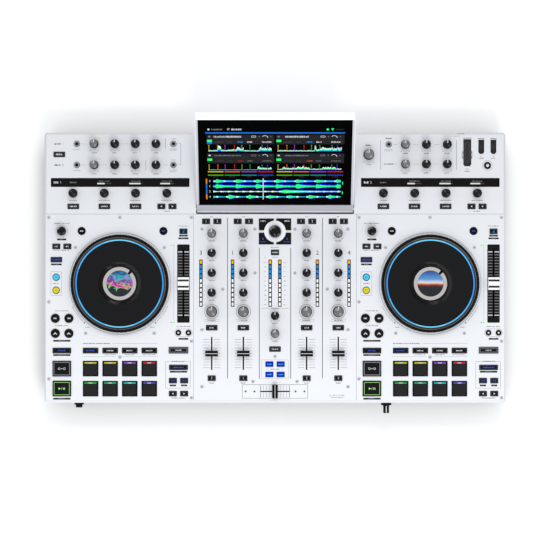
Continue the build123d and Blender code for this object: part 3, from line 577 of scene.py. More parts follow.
for (side, sign), stops, swirl in zip(SIDES, (NEON_STOPS, HORIZON_STOPS), (1.1, 0.1)):
    x, y = sign * DECK_X, DECK_Y
    jog_low, jog_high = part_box(side + "_jog_wheel")
    radius = (jog_high[0] - jog_low[0]) / 2 / MM
    crest = jog_high[2] / MM
    wheel = Form(side + "_jog_platter")
    wheel.lathe(x, y, [(radius - 6, FOOT), (radius - 0.8, FOOT), (radius, FOOT + 0.8), (radius, crest - 4.2),
                       (radius - 0.7, crest - 3.2), (radius - 6, crest - 3.2)],
                knob_grip, outline=ribbed(0.006, 120, 4), ring_shaped=True)
    # two turned grooves in the rim
    for inner, outer, low, high in ((7.7, 6.8, 1.1, 0.9), (5.9, 4.4, 1.9, 1.5)):
        wheel.lathe(x, y, [(radius - inner, crest - 3.6), (radius - outer, crest - 3.6),
                           (radius - outer, crest - low), (radius - outer - 0.2, crest - high),
                           (radius - inner + 0.1, crest - high)], jog_metal, 120, ring_shaped=True)
    wheel.band(x, y, 70, radius - 2.4, FOOT + 2, crest - 2.2, black_gloss, 120, 0.3)
    wheel.band(x, y, 66.6, 70.2, FOOT + 2, crest - 0.6, black_gloss, 120, 0.3)
    # the lit ring, palest at its left and right
    for quarter in range(4):
        middle = lamp_jog_pale if quarter % 2 == 1 else lamp_jog
        for start, end, ring_lamp in ((-45, -20, lamp_jog_mid), (-20, 20, middle), (20, 45, lamp_jog_mid)):
            wheel.arc(x, y, 68.5, 1.9, 90 * quarter + start, 90 * quarter + end, ring_lamp, crest - 0.5, 20)
    wheel.lathe(x, y, [(27.3, FOOT), (66, FOOT), (66.6, crest - 0.5), (66.1, crest - 0.05), (36, crest - 0.02),
                       (34.6, crest - 0.15), (33.6, crest - 0.6), (29.4, crest - 2.4), (27.3, crest - 2.5)],
                jog_top, 120, ring_shaped=True)
    # painted highlights and painted shade on the dish round the screen: lighter arcs on its right, black arcs on its
    # left
    for inner, outer, low, high, start, sweep, shade in (
            (29, 31.2, 2.42, 1.55, -35, 105, dish_painted_highlight), (31.2, 33.4, 1.55, 0.65, -55, 155, dish_painted_highlight),
            (33.4, 34.6, 0.65, 0.1, -70, 180, dish_faint_painted_highlight), (29, 31.2, 2.42, 1.55, 115, 185, black_gloss),
            (31.2, 33.4, 1.55, 0.65, 125, 165, black_gloss)):
        wheel.sweep(x, y, [(inner, crest - low - 0.3), (inner, crest - low), (outer, crest - high),
                           (outer, crest - high - 0.3)], start, start + sweep, shade, 32)
    wheel.band(x, y, 27.1, 40, TOP - 10, FOOT + 0.5, black_plastic)
    wheel.done(side + "_jog", [side + "_jog_wheel"], smooth=30)

    top = crest - 2.6
    screen = Form(side + "_jog_screen")
    screen.disc(x, y, 26.9, 41.6, top, screen_black, 0.3, 72)
    screen.disc(x, y, 20.4, top - 0.1, top + 0.1, screen_art(side + "_jog_art", x, y, stops, swirl), count=72)
    screen.arc(x, y, 23.4, 5.6, 52, 402, lamp_ring, top + 0.05, 96)
    screen.arc(x, y, 23.4, 6.4, 44, 50, black_gloss, top + 0.07, 8)
    screen.disc(x, y, 34, 41.7, 47.6, black_plastic, count=60)
    screen.done("case", ["jog_displays"] if side == "left" else ())


# ============================================================== buttons
def button_cap(form, solid, material=black_gloss):
    """A moulded cap over one button; the form's marks then lie on its top."""
    x, y, width, depth, bottom, top = solid
    form.level = top
    if abs(width - depth) < 0.05 and width < 16:
        form.disc(x, y, width / 2, bottom, top, material, 0.45)
    else:
        form.block(x, y, width, depth, bottom, top, material, 0.9, 0.45)
        form.frame_line(x, y, width - 2.2, depth - 2.2, 0.5, 0.35, ink_grey)


def chevrons(form, x, y, size, direction):
    """Two arrowheads and a bar, for skip buttons."""
    for share in (-0.35, 0.35):
        form.triangle(x + size * share * direction, y, size, 0 if direction > 0 else 180, lamp_white)
    form.bar(x + size * 0.95 * direction, y, size * 0.22, size, lamp_white)


def peak(form, x, y, size):
    """A bold upward chevron."""
    outline = [(-size, -size * 0.55), (-size * 0.45, -size * 0.55), (0, -size * 0.05),
               (size * 0.45, -size * 0.55), (size, -size * 0.55), (0, size * 0.55)]
    form.flat(moved(outline, x, y), lamp_white)


def transport_key(keys, solid, is_play):
    """A large square key with a lit rim: play, or cue."""
    x, y, width, depth, bottom, top = solid
    rim, line = (lamp_play, lamp_play_text) if is_play else (ink_grey, ink_light)
    keys.block(x, y, width, depth, bottom, top - 0.7, black_gloss, 0.9, 0.4)
    keys.block(x, y, width - 2.4, depth - 2.4, top - 1, top - 0.45, rim, 0.8, 0.2)
    keys.block(x, y, width - 4.4, depth - 4.4, top - 0.8, top - 0.25, ink_black, 0.6, 0.2)
    keys.frame_line(x, y, width - 4.4, depth - 4.4, 0.6, 0.5, line, top - 0.24)
    keys.block(x, y, width - 7, depth - 7, top - 0.6, top, black_plastic, 0.7, 0.35)
    keys.level = top
    if is_play:
        keys.triangle(x - 3.6, y, 3.4, 0, lamp_play_text)
        keys.bar(x, y, 0.5, 3.8, lamp_play_text, turn=math.radians(-22))
        for shift in (2.7, 4.6):
            keys.bar(x + shift, y, 0.9, 3.4, lamp_play_text)
    else:
        keys.bar(x, y, 3, 0.8, lamp_white)
        for shift in (-4.2, 4.2):
            keys.ring_line(x + shift, y, 1.5, 0.6, lamp_white, count=24)


def deck_key(keys, solid, rx, ry):
    """One deck button with its mark; rx and ry are its place from the jog's centre."""
    x, y, width, depth, bottom, top = solid
    if depth > 20:
        transport_key(keys, solid, ry < -150)
        return
    if abs(rx) > 95 and abs(ry) < 15:
        keys.disc(x, y, width / 2, bottom, top - 0.3, black_gloss, 0.3)
        keys.disc(x, y, width / 2 - 0.9, top - 0.8, top - 0.05, lamp_cyan if ry > 0 else lamp_yellow, 0.3)
        keys.ring_line(x, y, 1.5, 0.5, ink_dark, top - 0.04, 24)
        return
    button_cap(keys, solid, black_gloss if width < 12.5 or depth < 9 else black_plastic)
    is_round = abs(width - depth) < 0.05
    if is_round and width > 13 and ry > -65:
        chevrons(keys, x, y, 2.6, 1 if rx > -91 else -1)
    elif is_round and width > 13:
        peak(keys, x, y, 3.3)
    elif is_round and width > 10:
        mark = lamp_blue if rx > 0 else lamp_white
        for shift in (-1.5, 1.5):
            keys.bar(x + shift, y, 1.8, 1.7, mark)
        keys.bar(x, y, 5.6, 0.5, mark)
    elif is_round:
        keys.disc(x, y, 1.5, top - 0.1, top + INK, lamp_white, count=20)
    elif width > 30:
        keys.frame_line(x, y, width - 0.6, depth - 0.6, 0.9, 1.3, ink_grey, top - 0.03)
        keys.frame_line(x, y, width - 4.4, depth - 4.4, 0.6, 0.5, lamp_dim)
        keys.label(x, y, 9.5, 1.7, lamp_white)
    elif width > 28 and depth < 9 and ry <= -120:
        keys.label(x, y, 18, 1.9, lamp_blue)
    elif width > 23:
        wide, mark = 15, lamp_blue
        if width > 28 and depth < 9:
            wide = 12.5
        elif rx >= -40:
            wide, mark = 10.5, lamp_white
        keys.frame_line(x, y, width - 2.6, depth - 2.6, 0.5, 0.35, lamp_grey)
        keys.label(x, y, wide, 1.9, mark)
    elif width > 16:
        keys.label(x, y, 12.5, 2.2, lamp_blue)
    elif ry < -170:
        keys.triangle(x, y, 2.8, 180 if rx < 92.5 else 0, lamp_white)
    elif ry < -140:
        keys.triangle(x - 1.2, y, 2.4, 0, lamp_blue)
        keys.triangle(x + 1.6, y, 2.4, 180, lamp_blue)
    elif rx > 0:
        keys.ring_line(x, y - 0.9, 1, 0.6, lamp_sky, count=20)
        keys.bar(x + 1, y + 0.6, 0.55, 3, lamp_sky)
    else:
        keys.label(x, y, 5, 2, lamp_white)


for side, sign in SIDES:
    pads = Form(side + "_pad_caps")
    for (x, y, width, depth, bottom, top), pad_lamp in zip(solids(side + "_pads"), pad_lamps):
        pads.block(x, y, width, depth, bottom, top - 1.5, black_gloss, 1.2, 0.4)
        pads.block(x, y - 1.6, width - 4, depth - 6.4, bottom + 4, top, pad_rubber, 1, 0.6)
        pads.block(x, y + depth / 2 - 3, width - 5.2, 2.3, top - 2, top - 0.4, pad_lamp, 0.5, 0.3)
        pads.bar(x, y + depth / 2 - 3, 6, 1, lamp_white, top - 0.42, rise=0.03)
    pads.done(side + "_pads_body", [side + "_pads"])

    keys = Form(side + "_deck_button_caps")
    for solid in solids(side + "_deck_buttons"):
        deck_key(keys, solid, solid[0] - sign * DECK_X, solid[1] - DECK_Y)
    keys.done(side + "_deck_buttons_body", [side + "_deck_buttons"])


def corner_key(form, solid):
    """One of four keys cut back in a curve round the browse encoder."""
    x, y, width, depth, bottom, top = solid
    side_x = 1 if x > 0 else -1
    side_y = 1 if y > browse_y else -1
    near_x, far_x = x - side_x * width / 2, x + side_x * width / 2
    near_y, far_y = y - side_y * depth / 2, y + side_y * depth / 2
    clear = 17.5
    start = math.degrees(math.acos(abs(near_x) / clear))
    end = math.degrees(math.asin(abs(near_y - browse_y) / clear))
    curve = [polar(0, 0, clear, start + (end - start) * step / 12) for step in range(13)]
    outline = [(near_x, far_y)] + [(side_x * px, browse_y + side_y * py) for px, py in curve]
    outline += [(far_x, near_y), (far_x, far_y)]
    if side_x * side_y < 0:
        outline.reverse()
    form.slab(outline, bottom, top, black_plastic, 0.4)
    form.level = top
    if side_y > 0:
        form.label(x + side_x * 5.2, y + 5.4, 8.2, 2, lamp_white)
    else:
        form.label(x + side_x * 4.4, y - 5, 9, 1.5, lamp_blue)
        form.disc(x + side_x * 5.2, y - 0.6, 1.1, top - 0.1, top + INK, lamp_blue, count=20)


mixer_keys = Form("mixer_button_caps")
for solid in solids("mixer_buttons"):
    x, y, width, depth, bottom, top = solid
    if depth > 12:
        corner_key(mixer_keys, solid)
        continue
    if y < -145 and abs(x) < 15:
        mixer_keys.block(x, y, width, depth, bottom, top - 0.4, lamp_royal, 0.9, 0.4)
        mixer_keys.block(x, y, width - 3, depth - 3.2, top - 0.8, top - 0.05, lamp_royal, 0.5, 0.2)
        mixer_keys.frame_line(x, y, width - 2.4, depth - 2.6, 0.5, 0.5, ink_black, top - 0.3)
        mixer_keys.label(x, y, width - 5, 1.5, lamp_cyan, top - 0.05)
        continue
    button_cap(mixer_keys, solid)
    if y > 70:
        is_first = min(abs(x - column + 8.9) for column in COLUMNS) < 4
        mixer_keys.numeral(x, y, 5.2, "1" if is_first else "2", lamp_white)
    elif y < -170:
        mixer_keys.numeral(x, y, 5.2, "3124"[COLUMNS.index(round(x))], lamp_white)
    elif width > 16 and abs(x) > 10:
        mixer_keys.label(x, y, 7.2, 2.2, lamp_white)
    elif width > 16:
        mixer_keys.label(x, y, 10.5, 1.8, lamp_white)
    else:
        mixer_keys.label(x, y, 8, 2, lamp_white)
mixer_keys.done("mixer_buttons_body", ["mixer_buttons"])

rear_keys = Form("rear_button_caps")
for solid in solids("rear_buttons"):
    x, y, width, depth, bottom, top = solid
    if abs(width - depth) < 0.05 and width < 10:
        rear_keys.disc(x, y, width / 2, bottom, top - 1.2, steel, 0.5)
        rear_keys.band(x, y, 2.4, width / 2 - 0.4, top - 1.6, top - 0.4, steel, 40, 0.4)
        rear_keys.disc(x, y, 2.5, bottom, top - 1, black_gloss, 0.3, 28)
    elif abs(width - depth) < 0.05:
        rear_keys.disc(x, y, width / 2, bottom, top, black_gloss, 0.5)
        rear_keys.disc(x, y, 2.4, top - 0.3, top + INK, lamp_white, count=28)
        rear_keys.bar(x, y + 1, 0.5, 1.6, ink_black, top + INK)
    else:
        button_cap(rear_keys, solid)
        if width > 16:
            rear_keys.label(x, y, 10.5, 2.2, lamp_white)
        else:
            is_left = min(abs(x + 179.5), abs(x - 310.5)) < 4
            rear_keys.triangle(x, y, 2.8, 180 if is_left else 0, lamp_white)
rear_keys.done("rear_buttons_body", ["rear_buttons"])


# =============================================================== faders
def fader(node, body, lengthwise):
    """A ridged finger cap with a bright centre line on its stem."""
    x, y, width, depth, bottom, top = solids(node)[0]
    form = Form(node + "_piece")
    across, along = (width, depth) if lengthwise else (depth, width)

    def put(offset, size, low, high, material, corner, bevel=0, wide=across):
        place = (x, y + offset, wide, size) if lengthwise else (x + offset, y, size, wide)
        form.block(*place, low, high, material, corner, bevel)

    put(0, along, FOOT, top - 3.2, black_gloss, 1, 0.8)
    for share in (-0.38, -0.2, 0.2, 0.38):
        offset = along * share
        put(offset, along * 0.15, top - 4, top - 0.6 - abs(offset) * 0.15, black_plastic, 0.4, 0.3)
    put(0, along * 0.24, top - 4, top - 0.15, black_plastic, 0.3, 0.2)
    put(0, along * 0.11, top - 4, top, cap_line, 0.2, 0.1)
    put(0, 6, bottom, FOOT + 0.2, steel, 0.3, wide=1.2)
    form.done(body, [node])


for number in "1234":
    fader("channel_" + number + "_fader_cap", "channel_" + number + "_fader", True)
fader("crossfader_cap", "crossfader", False)

for side, _ in SIDES:
    x, y, width, depth, bottom, top = solids(side + "_pitch_fader_cap")[0]
    form = Form(side + "_pitch_fader_piece")
    form.block(x, y, width, depth, FOOT, top - 3.4, white_gloss, 1, 0.8)
    for offset, size, material, drop in ((8.2, 2.6, white_gloss, 1.8), (4.9, 2.6, ink_dark, 2.6),
                                         (0, 6.4, white_gloss, 0), (-4.9, 2.6, ink_dark, 2.6),
                                         (-8.2, 2.6, white_gloss, 1.8)):
        form.block(x, y + offset, width - 0.8, size, top - 4.4, top - drop, material, 0.5, 0.4)
    form.bar(x, y, width - 1.4, 1.2, ink_light, top, rise=-0.02)
    form.block(x, y, 1.2, 6, bottom, FOOT + 0.2, steel, 0.3)
    form.done(side + "_pitch_fader", [side + "_pitch_fader_cap"])

# =============================================================== meters
SEGMENTS = [lamp_amber] + [lamp_sky] * 3 + [ink_white] * 6
meters = Form("meter_segments")
for x, y, width, depth, bottom, top in solids("level_meters"):
    meters.block(x, y, width, depth, bottom, top - 0.15, black_gloss, 0.5)
    meters.block(x, y, width + 1, depth + 0.8, TOP - 0.1, TOP + 0.12, ink_dark, 0.5)
    pitch = depth / len(SEGMENTS)
    for index, segment in enumerate(SEGMENTS):
        meters.block(x, y + depth / 2 - pitch * (index + 0.5), width - 1.8, pitch - 2.3, top - 0.3, top, segment, 0.3)
meters.done("case", ["level_meters"])

# =============================================================== screws
screws = Form("screw_heads")
for x, y, width, depth, bottom, top in solids("panel_screws"):
    is_small = y < -190 and abs(x) < 50
    radius, head = (1.3, ink_dark) if is_small else (width / 2, screw_zinc)
    screws.disc(x, y, 1.4, bottom, TOP, steel, count=16)
    screws.lathe(x, y, [(radius, TOP - 0.1), (radius, TOP + 0.3), (radius * 0.8, TOP + 0.75),
                        (radius * 0.55, TOP + 0.9)], head, 28)
    # the hex socket drawn as a grey disc of painted shade
    screws.disc(x, y, radius * 0.42, TOP + 0.6, TOP + 0.95, seam_shadow, count=6)
screws.done("case", ["panel_screws"])

# nuts and captions of the rear jacks, on the rear wall
rear_sockets = [solid for solid in solids("sockets") if solid[1] > 0]
jacks = [solid for solid in rear_sockets if solid[3] > 20]
_, y, _, depth, bottom, top = jacks[0]
rear_plane = (Matrix.Translation((0, (y + depth / 2 - 2 + CASE_Y) * MM, (bottom + top) / 2 * MM))
              @ Matrix.Rotation(math.radians(-90), 4, "X"))
nuts = Form("jack_nuts", rear_plane, 0.02)
for x, *_ in jacks:
    nuts.band(x, 0, 6.1, 8, 0, 1.2, steel, 40, 0.25)
    nuts.label(x, -12.6, 11, 1.3, ink_light)
for x, _, width, depth, bottom, top in rear_sockets:
    if depth < 20:
        nuts.frame_line(x, 0, width + 3, top - bottom + 3, 1.2, 0.5, ink_light)
nuts.done("case")

# ========================================================= printed marks
marks = Form("panel_print")


def each(draw, material, *rows):
    """Draws every row of numbers in one material."""
    for row in rows:
        draw(*row, material)


def knob_scale(x, y, radius, drop, wide):
    """The minus and plus marks, faint dots and caption round a knob."""
    for step in range(11):
        degrees = 225 - 27 * step
        marks.bar(*polar(x, y, radius + 2.3, degrees), 0.45, 0.45, ink_light, turn=math.radians(degrees))
    for sign in (-1, 1):
        marks.bar(x + sign * (radius - 0.6), y - drop, 2.2, 0.8, ink_light)
    marks.label(x, y - drop - 3.6, wide, 1.4, ink_grey)


for knobs, drop, wide in ((LEVEL_KNOBS, 8.4, 11), (TONE_KNOBS, 8.3, 8.5), (SOURCE_KNOBS, None, 8)):
    for x, y, radius in knobs:
        knob_scale(x, y, radius, drop or radius + 3.4, wide)
for x, y, radius in FILTER_KNOBS:
    marks.ring_line(x, y, 11.3, 0.5, ink_grey)
    marks.frame_line(x, y - 13.9, 23.4, 4, 1.9, 0.3, ink_light)
    marks.label(x, y - 13.9, 13, 1.4, ink_grey)
for x, y, radius in EFFECT_KNOBS:
    is_first = min(abs(x + 318.8), abs(x - 171.2)) < 3
    marks.label(x, y - 11.2, 12 if is_first else 17.5, 1.3, ink_grey)

# mixer: fader scales, dividers, meter scales, crossfader and browse ring
for column, text in zip(COLUMNS, "3124"):
    marks.label(column, 80.6, 4, 1.1, ink_dark)
    for step in range(11):
        shade = ink_grey if step in (0, 10) else ink_light
        for sign in (-1, 1):
            marks.bar(column + sign * 8.6, -113.2 - 4.48 * step, 10, 0.5, shade)
    marks.arc(column, -174, 8, 0.4, 215, 325, ink_light)
    marks.label(column, -182.6, 7, 1.2, ink_grey)
    inward = -1 if column > 0 else 1
    marks.numeral(column - inward * 17.2, 23.4, 9.5, text, ink_dark)
    for step in range(10):
        marks.bar(column - inward * 11.8, 8.6 - 7.4 * step, 1.5, 0.6, ink_light)
each(marks.label, ink_grey, (0, 32.2, 13, 1.3), (0, 16.4, 9, 1.3), (98, -201.6, 24, 1.1), (98, -205, 20, 1.1))
each(marks.label, ink_dark, (0, -64.3, 14, 1.5), (0, -160.4, 14.5, 1.3))
marks.numeral(0, -28, 2.6, "0", ink_grey)
for sign in (-1, 1):
    each(marks.bar, ink_grey, (sign * 75, -48, 1.1, 254), (sign * 24.8, -72, 1.1, 207))
    each(marks.bar, ink_light, (sign * 15.2, -64.3, 13, 0.45), (sign * 12, -160.4, 5, 0.3))
    marks.label(sign * 15.3, 16.2, 1.6, 1.3, ink_grey)
    for step in range(10):
        marks.label(sign * 15.3, 8.6 - 7.4 * step, 5 if step == 0 else 3, 1.2, ink_grey)
    for step in range(11):
        wide, shade = (0.7, ink_dark) if step in (0, 10) else (0.45, ink_light)
        marks.bar(-22.8 + 4.56 * step, -195.5 + sign * 5.6, wide, 8.2, shade)
each(marks.frame_line, ink_light, (0, -160.4, 42.6, 30, 1, 0.35), (0, -195.5, 103.4, 21.9, 1.4, 0.4))
marks.band(browse_x, browse_y, 10.2, 17.2, TOP - INK, TOP + 0.5, white_gloss, bevel=0.3)
marks.ring_line(browse_x, browse_y, 16.9, 0.5, ink_light)

# both decks alike
DECK_CAPTIONS = (
    (-92, 95, 24, 1.3, ink_grey), (-91.8, 52.6, 26, 1.3, ink_grey), (-100.8, 0.2, 9.6, 1.4, ink_dark),
    (-91.4, -43, 21, 1.3, ink_grey), (-91.8, -66.4, 21, 1.3, ink_grey), (100.3, 91, 17.5, 1.3, ink_grey),
    (-37.2, -94.7, 43, 1.5, ink_dark), (100.3, -67.8, 21.5, 1.3, ink_dark), (92.5, -122.9, 20, 1.5, ink_dark),
    (92.5, -180.9, 22.5, 1.3, ink_dark), (-51.6, -69, 6.5, 1.2, ink_grey), (51.6, -69, 8, 1.2, ink_grey),
    (-15.4, -112.5, 17.5, 1.2, ink_grey), (15.4, -112.5, 15.5, 1.2, ink_grey), (46.3, -112.5, 21, 1.2, ink_grey),
)
DECK_PLAQUES = (
    (-92, 69.7, 14.5), (-100.5, 30.3, 17), (-91.8, -90.5, 27.4), (-91.8, -113, 27.4), (-91.8, -182, 27.4),
    (100.3, 75.6, 13.7), (100.3, 71.4, 16), (100.3, -87.4, 15.3), (92.5, -139.4, 27.4), (83.6, -161, 9.7),
    (101.4, -161, 9.7),
)
for _, sign in SIDES:
    cx, cy = sign * DECK_X, DECK_Y
    marks.ring_line(cx, cy, 80.4, 0.45, ink_grey, count=120)
    for start, end, tip, heading in ((205, 226, 228, 318), (335, 314, 312, 222)):
        marks.arc(cx, cy, 83.6, 0.4, start, end, ink_dark)
        marks.triangle(*polar(cx, cy, 83.6, tip), 2.6, heading, ink_dark)
    for x, y, width, height, shade in DECK_CAPTIONS:
        marks.label(cx + x, cy + y, width, height, shade)
    for x, y, width in DECK_PLAQUES:
        marks.block(cx + x, cy + y, width, 2.7, TOP - INK, TOP + INK, ink_black, 0.6)
        marks.label(cx + x, cy + y, width * 0.4, 1, ink_light, TOP + INK)
    each(marks.bar, ink_light, (cx + 23.2, cy - 94.7, 72, 0.4), (cx - 33, cy - 115.6, 54, 0.4),
         (cx + 31.5, cy - 115.6, 56, 0.4), (cx + 85.2, cy, 0.4, 117))
    each(marks.bar, ink_dark, (cx + 81, cy + 60.4, 1.8, 0.7), (cx + 81, cy - 61.3, 1.8, 0.7),
         (cx + 81, cy - 61.3, 0.7, 1.8))
    each(marks.frame_line, ink_grey, (cx - 100.7, cy, 17.4, 38, 2, 0.35),
         (cx + 100.3, cy - 77.7, 28.5, 12.6, 6.2, 0.35), (cx + 91.7, cy - 144.2, 39.5, 42.6, 0.8, 0.4))
    marks.block(cx + 92.5, cy - 122.9, 22.5, 1.9, TOP - INK, TOP + 0.02, white_panel, 0.3)
    marks.ring_line(cx - 92, cy + 83, 9.6, 0.35, ink_light)
    for y in (60.4, -61.3):
        marks.disc(cx + 85.2, cy + y, 1.5, TOP - INK, TOP + 0.3, lamp_led_green, 0.2, 20)
    # the pitch fader's ladder
    marks.frame_line(cx + 100.3, cy, 19.7, 123.8, 1.5, 0.5, black_gloss)
    for step in range(23):
        tall, shade = (1.5, cap_line) if step in (0, 11, 22) else (1.1, ladder_grey)
        for direction in (-1, 1):
            marks.bar(cx + 100.3 + direction * 5.2, cy - 50 + 100 / 22 * step, 7.2, tall, shade)

# rear strip, left side: two rows of source controls
for y, number in ((195.7, "1"), (162.4, "2")):
    marks.label(-343.6, y, 10, 2.6, ink_dark)
    marks.numeral(-335.2, y, 4.2, number, ink_dark)
    each(marks.label, ink_light, (-313.2, y - 8.9, 12, 1.1), (-160.5, y + 8, 8.6, 1.1), (-160.5, y - 10.6, 12, 1.1))
    marks.label(-160.5, y - 8.2, 12, 1.1, ink_grey)
    links = ((-302, 8), (-269.6, 7.6), (-235.85, 9.7), (-202.7, 8.4))
    each(marks.bar, ink_light, *((x, y, width, 0.4) for x, width in (links if number == "1" else links[:3])))
    marks.disc(-277.5, y + 8.8, 1.25, TOP - INK, TOP + 0.3, lamp_yellow, 0.2, 20)
marks.bar(-172, 162.4, 7, 0.4, ink_light)
each(marks.bar, ink_grey, (-173.1, 196.3, 0.5, 16.5), (-204.2, 162, 0.5, 16.5), (-148.9, 179.6, 0.5, 33.8),
     (-151, 196.4, 4, 0.4), (-151, 162.8, 4, 0.4), (166.8, 178, 0.5, 46.5), (286.7, 178, 0.5, 46.5))
# rear strip, right side
each(marks.label, ink_dark, (-170.7, 89.4, 9.6, 1.2), (318.6, 89.4, 9.6, 1.2), (148.1, 193.5, 9.8, 1.8),
     (179.6, 204.4, 10, 1.8), (179.6, 163.9, 14.7, 1.8))
each(marks.label, ink_light, (179.6, 186.8, 13.7, 1.1), (179.6, 184.6, 13.7, 1.1))
each(marks.label, ink_grey, (285.7, 208, 15, 1), (293.5, 211.6, 12, 1))
for y in (194.7, 163.7):
    each(marks.bar, ink_light, (190.25, y, 6.5, 0.4), (222.5, y, 9, 0.4), (255.5, y, 9, 0.4))
for x, y in ((303.6, 155.8), (326, 176.4), (345.2, 176.4)):
    marks.label(x, y, 5, 1.1, ink_grey)
    marks.label(x, y - 3.4, 8, 1.3, ink_dark)
marks.ring_line(335.7, 161.5, 8, 0.4, ink_light)
# rims and chamfered front corners of the media slots
for x, y, width, depth in ((303.8, 182.3, 12.6, 43.6), (325.9, 191.6, 9.3, 23.4), (345.1, 191.6, 9.3, 23.4)):
    marks.frame_line(x, y - 0.6, width + 2.6, depth + 1.8, 1.6, 1.3, white_panel)
    for side in (-1, 1):
        edge, front = side * width / 2, -depth / 2
        tip = [(edge, front), (edge, front + 2.4), (edge - side * 2.4, front)][::side]
        marks.flat(moved(tip, x, y), white_panel)
# painted shade of a shallow finger scoop on both sides of the card slot
for start in (-40, 140):
    marks.arc(303.8, 178.2, 8.4, 2.4, start, start + 80, scoop_shade)
# painted shadow lines: the gap in front of the display bay, and the seams between the plates and the shell
marks.bar(0, 85.1, 250, 0.7, ink_dark)
each(marks.bar, seam_shadow, (-245.5, 84.8, 233, 0.5), (245.5, 84.8, 233, 0.5), (-128.7, -62, 0.5, 293),
     (128.7, -62, 0.5, 293))
marks.done("case")

# ======================================================= effect displays
strips = Form("effect_strip_text", level=TOP + 0.3)
for shift, number in ((0, "1"), (490, "2")):
    strips.label(-345.8 + shift, 134.8, 7.5, 3.4, lamp_white)
    strips.numeral(-338.6 + shift, 134.8, 5, number, lamp_white)
    strips.label(-318.8 + shift, 134.8, 10.5, 2.2, lamp_dim)
    for start, full, end in ((-280.8, -269, -258.6), (-230.3, -212.6, -209.4), (-181.2, -165.8, -159.4)):
        strips.bar((start + full) / 2 + shift, 133, full - start, 2.2, lamp_white)
        strips.bar((full + end) / 2 + shift, 133, end - full, 1.9, lamp_grey)
        strips.label((start + end) / 2 + shift, 136.9, (end - start) * 0.75, 1.5, lamp_dim)
strips.done("case")

# ============================================================== display
# x right, y up the glass from its front edge, z out of the glass
TILT = math.radians(34.5)
GLASS_THICK = 1.6
OVER = 0.05  # lift of what lies on a panel
glass_low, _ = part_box("display_glass")
glass_front = Vector((0, glass_low[1], glass_low[2] + GLASS_THICK * MM * math.cos(TILT)))
glass_plane = Matrix.Translation(glass_front) @ Matrix.Rotation(TILT, 4, "X")

ui_panel = lamp("ui_panel", (44, 44, 48), 0.25)
ui_blue = lamp("ui_blue", (24, 104, 205), 0.9)
wave_blue = lamp("wave_blue", (12, 40, 235), 1)
wave_green = lamp("wave_green", (40, 235, 110), 0.9)
wave_white = lamp("wave_white", (226, 244, 236), 0.8)
wave_teal = lamp("wave_teal", (20, 150, 150), 0.7)
ui_orange = lamp("ui_orange", (220, 125, 25), 0.9)
CUE_COLOURS = (
    (188, 168, 22), (205, 92, 22), (150, 45, 165), (190, 22, 22),
    (84, 150, 28), (14, 142, 52), (12, 122, 112), (16, 62, 172),
)
cue_lamps = [lamp("cue_lamp_" + str(i + 1), c, 0.8) for i, c in enumerate(CUE_COLOURS)]

ui = Form("display_picture", glass_plane, 0)
ui.bar(0, 131.8, 216.4, 2.2, ui_blue)
ui.disc(-103, 138, 1.7, -INK, INK, lamp_white, count=20)
ui.label(-90, 138, 17, 2.6, lamp_dim)
ui.ring_line(-72.4, 138.4, 1.4, 0.6, lamp_white, count=20)
ui.label(-59.5, 138, 16.5, 2.8, lamp_white)
ui.disc(81.3, 138, 1.9, -INK, INK, wave_green, count=20)
ui.triangle(88.8, 138.2, 4.4, -90, wave_green)
ui.label(100, 138, 11, 1.6, lamp_grey)


def envelope(station, period, seed, sharpness):
    """Height of a beat shape along a waveform, 0 to 1."""
    beat, fraction = divmod(station / period, 1)
    strength = 0.7 + 0.3 * random.Random(seed * 1000 + int(beat)).random()
    return strength * math.exp(-sharpness * fraction) * min(1, fraction * 12 + 0.25)


def waveform(centre, half, seed, period, body_lamp, core_lamp, base, spark=False, beats=109, first=-97):
    """One long centred waveform with a body, a core and white peaks."""
    stations = [first + 0.8 * i for i in range(int((104 - first) / 0.8))]
    dice = random.Random(seed)
    outer = [half * min(1, (base + (1 - base) * envelope(s + beats, period, seed, 2.2))
                        * (0.82 + 0.36 * dice.random())) for s in stations]
    inner = [o * min(0.95, 0.25 + envelope(s + beats, period, seed + 3, 2.4)) for s, o in zip(stations, outer)]
    ui.ribbon(stations, centre, outer, 1, OVER, body_lamp)
    ui.ribbon(stations, centre, inner, 1, 0.08, core_lamp)
    for s in stations:
        if spark and (s + beats) % (period / 2) > period / 2 - 2:
            ui.bar(s, centre, 1.6, half * 0.55, wave_white, 0.08)


waveform(43.6, 4.2, 5, 31.5, wave_blue, wave_green, 0.3, True, 125.3)
waveform(34.1, 4.6, 11, 31.5, wave_blue, wave_green, 0.5, beats=125.3)
waveform(24.4, 1.8, 23, 11.5, wave_teal, wave_white, 0.4)
waveform(24.4, 3.6, 47, 120, wave_blue, wave_green, 0.3, beats=713.5, first=6.5)
waveform(14.5, 4.8, 31, 31.5, wave_blue, wave_green, 0.05, True, 105.8)
for v, number, material in ((43.6, "3", ui_orange), (34.1, "1", ui_blue), (24.4, "2", ui_blue), (14.5, "4", ui_orange)):
    ui.bar(-107.4, v, 2, 9, material)
    ui.numeral(-102.4, v, 5.2, number, lamp_white)
ui.bar(-18.6, 29.3, 1.3, 39, lamp_white, 0.1)
each(ui.bar, wave_green, (105.8, 40, 1.4, 5), (105.8, 22, 1.4, 5))

# loudness over each of the four tracks, as (up to this share, level)
SONGS = (
    ((0.14, 0.22), (0.2, 0.8), (0.38, 0.25), (0.45, 0.4), (0.56, 0.6), (0.8, 0.2), (1, 0.6)),
    ((0.78, 0.06), (0.8, 0.9), (1, 0.42)),
    ((0.58, 0.2), (0.6, 0.8), (0.66, 0.35), (1, 0.6)),
    ((0.08, 0.16), (0.13, 0.6), (0.3, 0.4), (0.42, 0.62), (0.5, 0.45), (0.7, 0.22), (0.9, 0.55), (1, 0.3)),
)
CUE_SHARES = (0.01, 0.14, 0.25, 0.39, 0.5, 0.62, 0.8, 0.88)


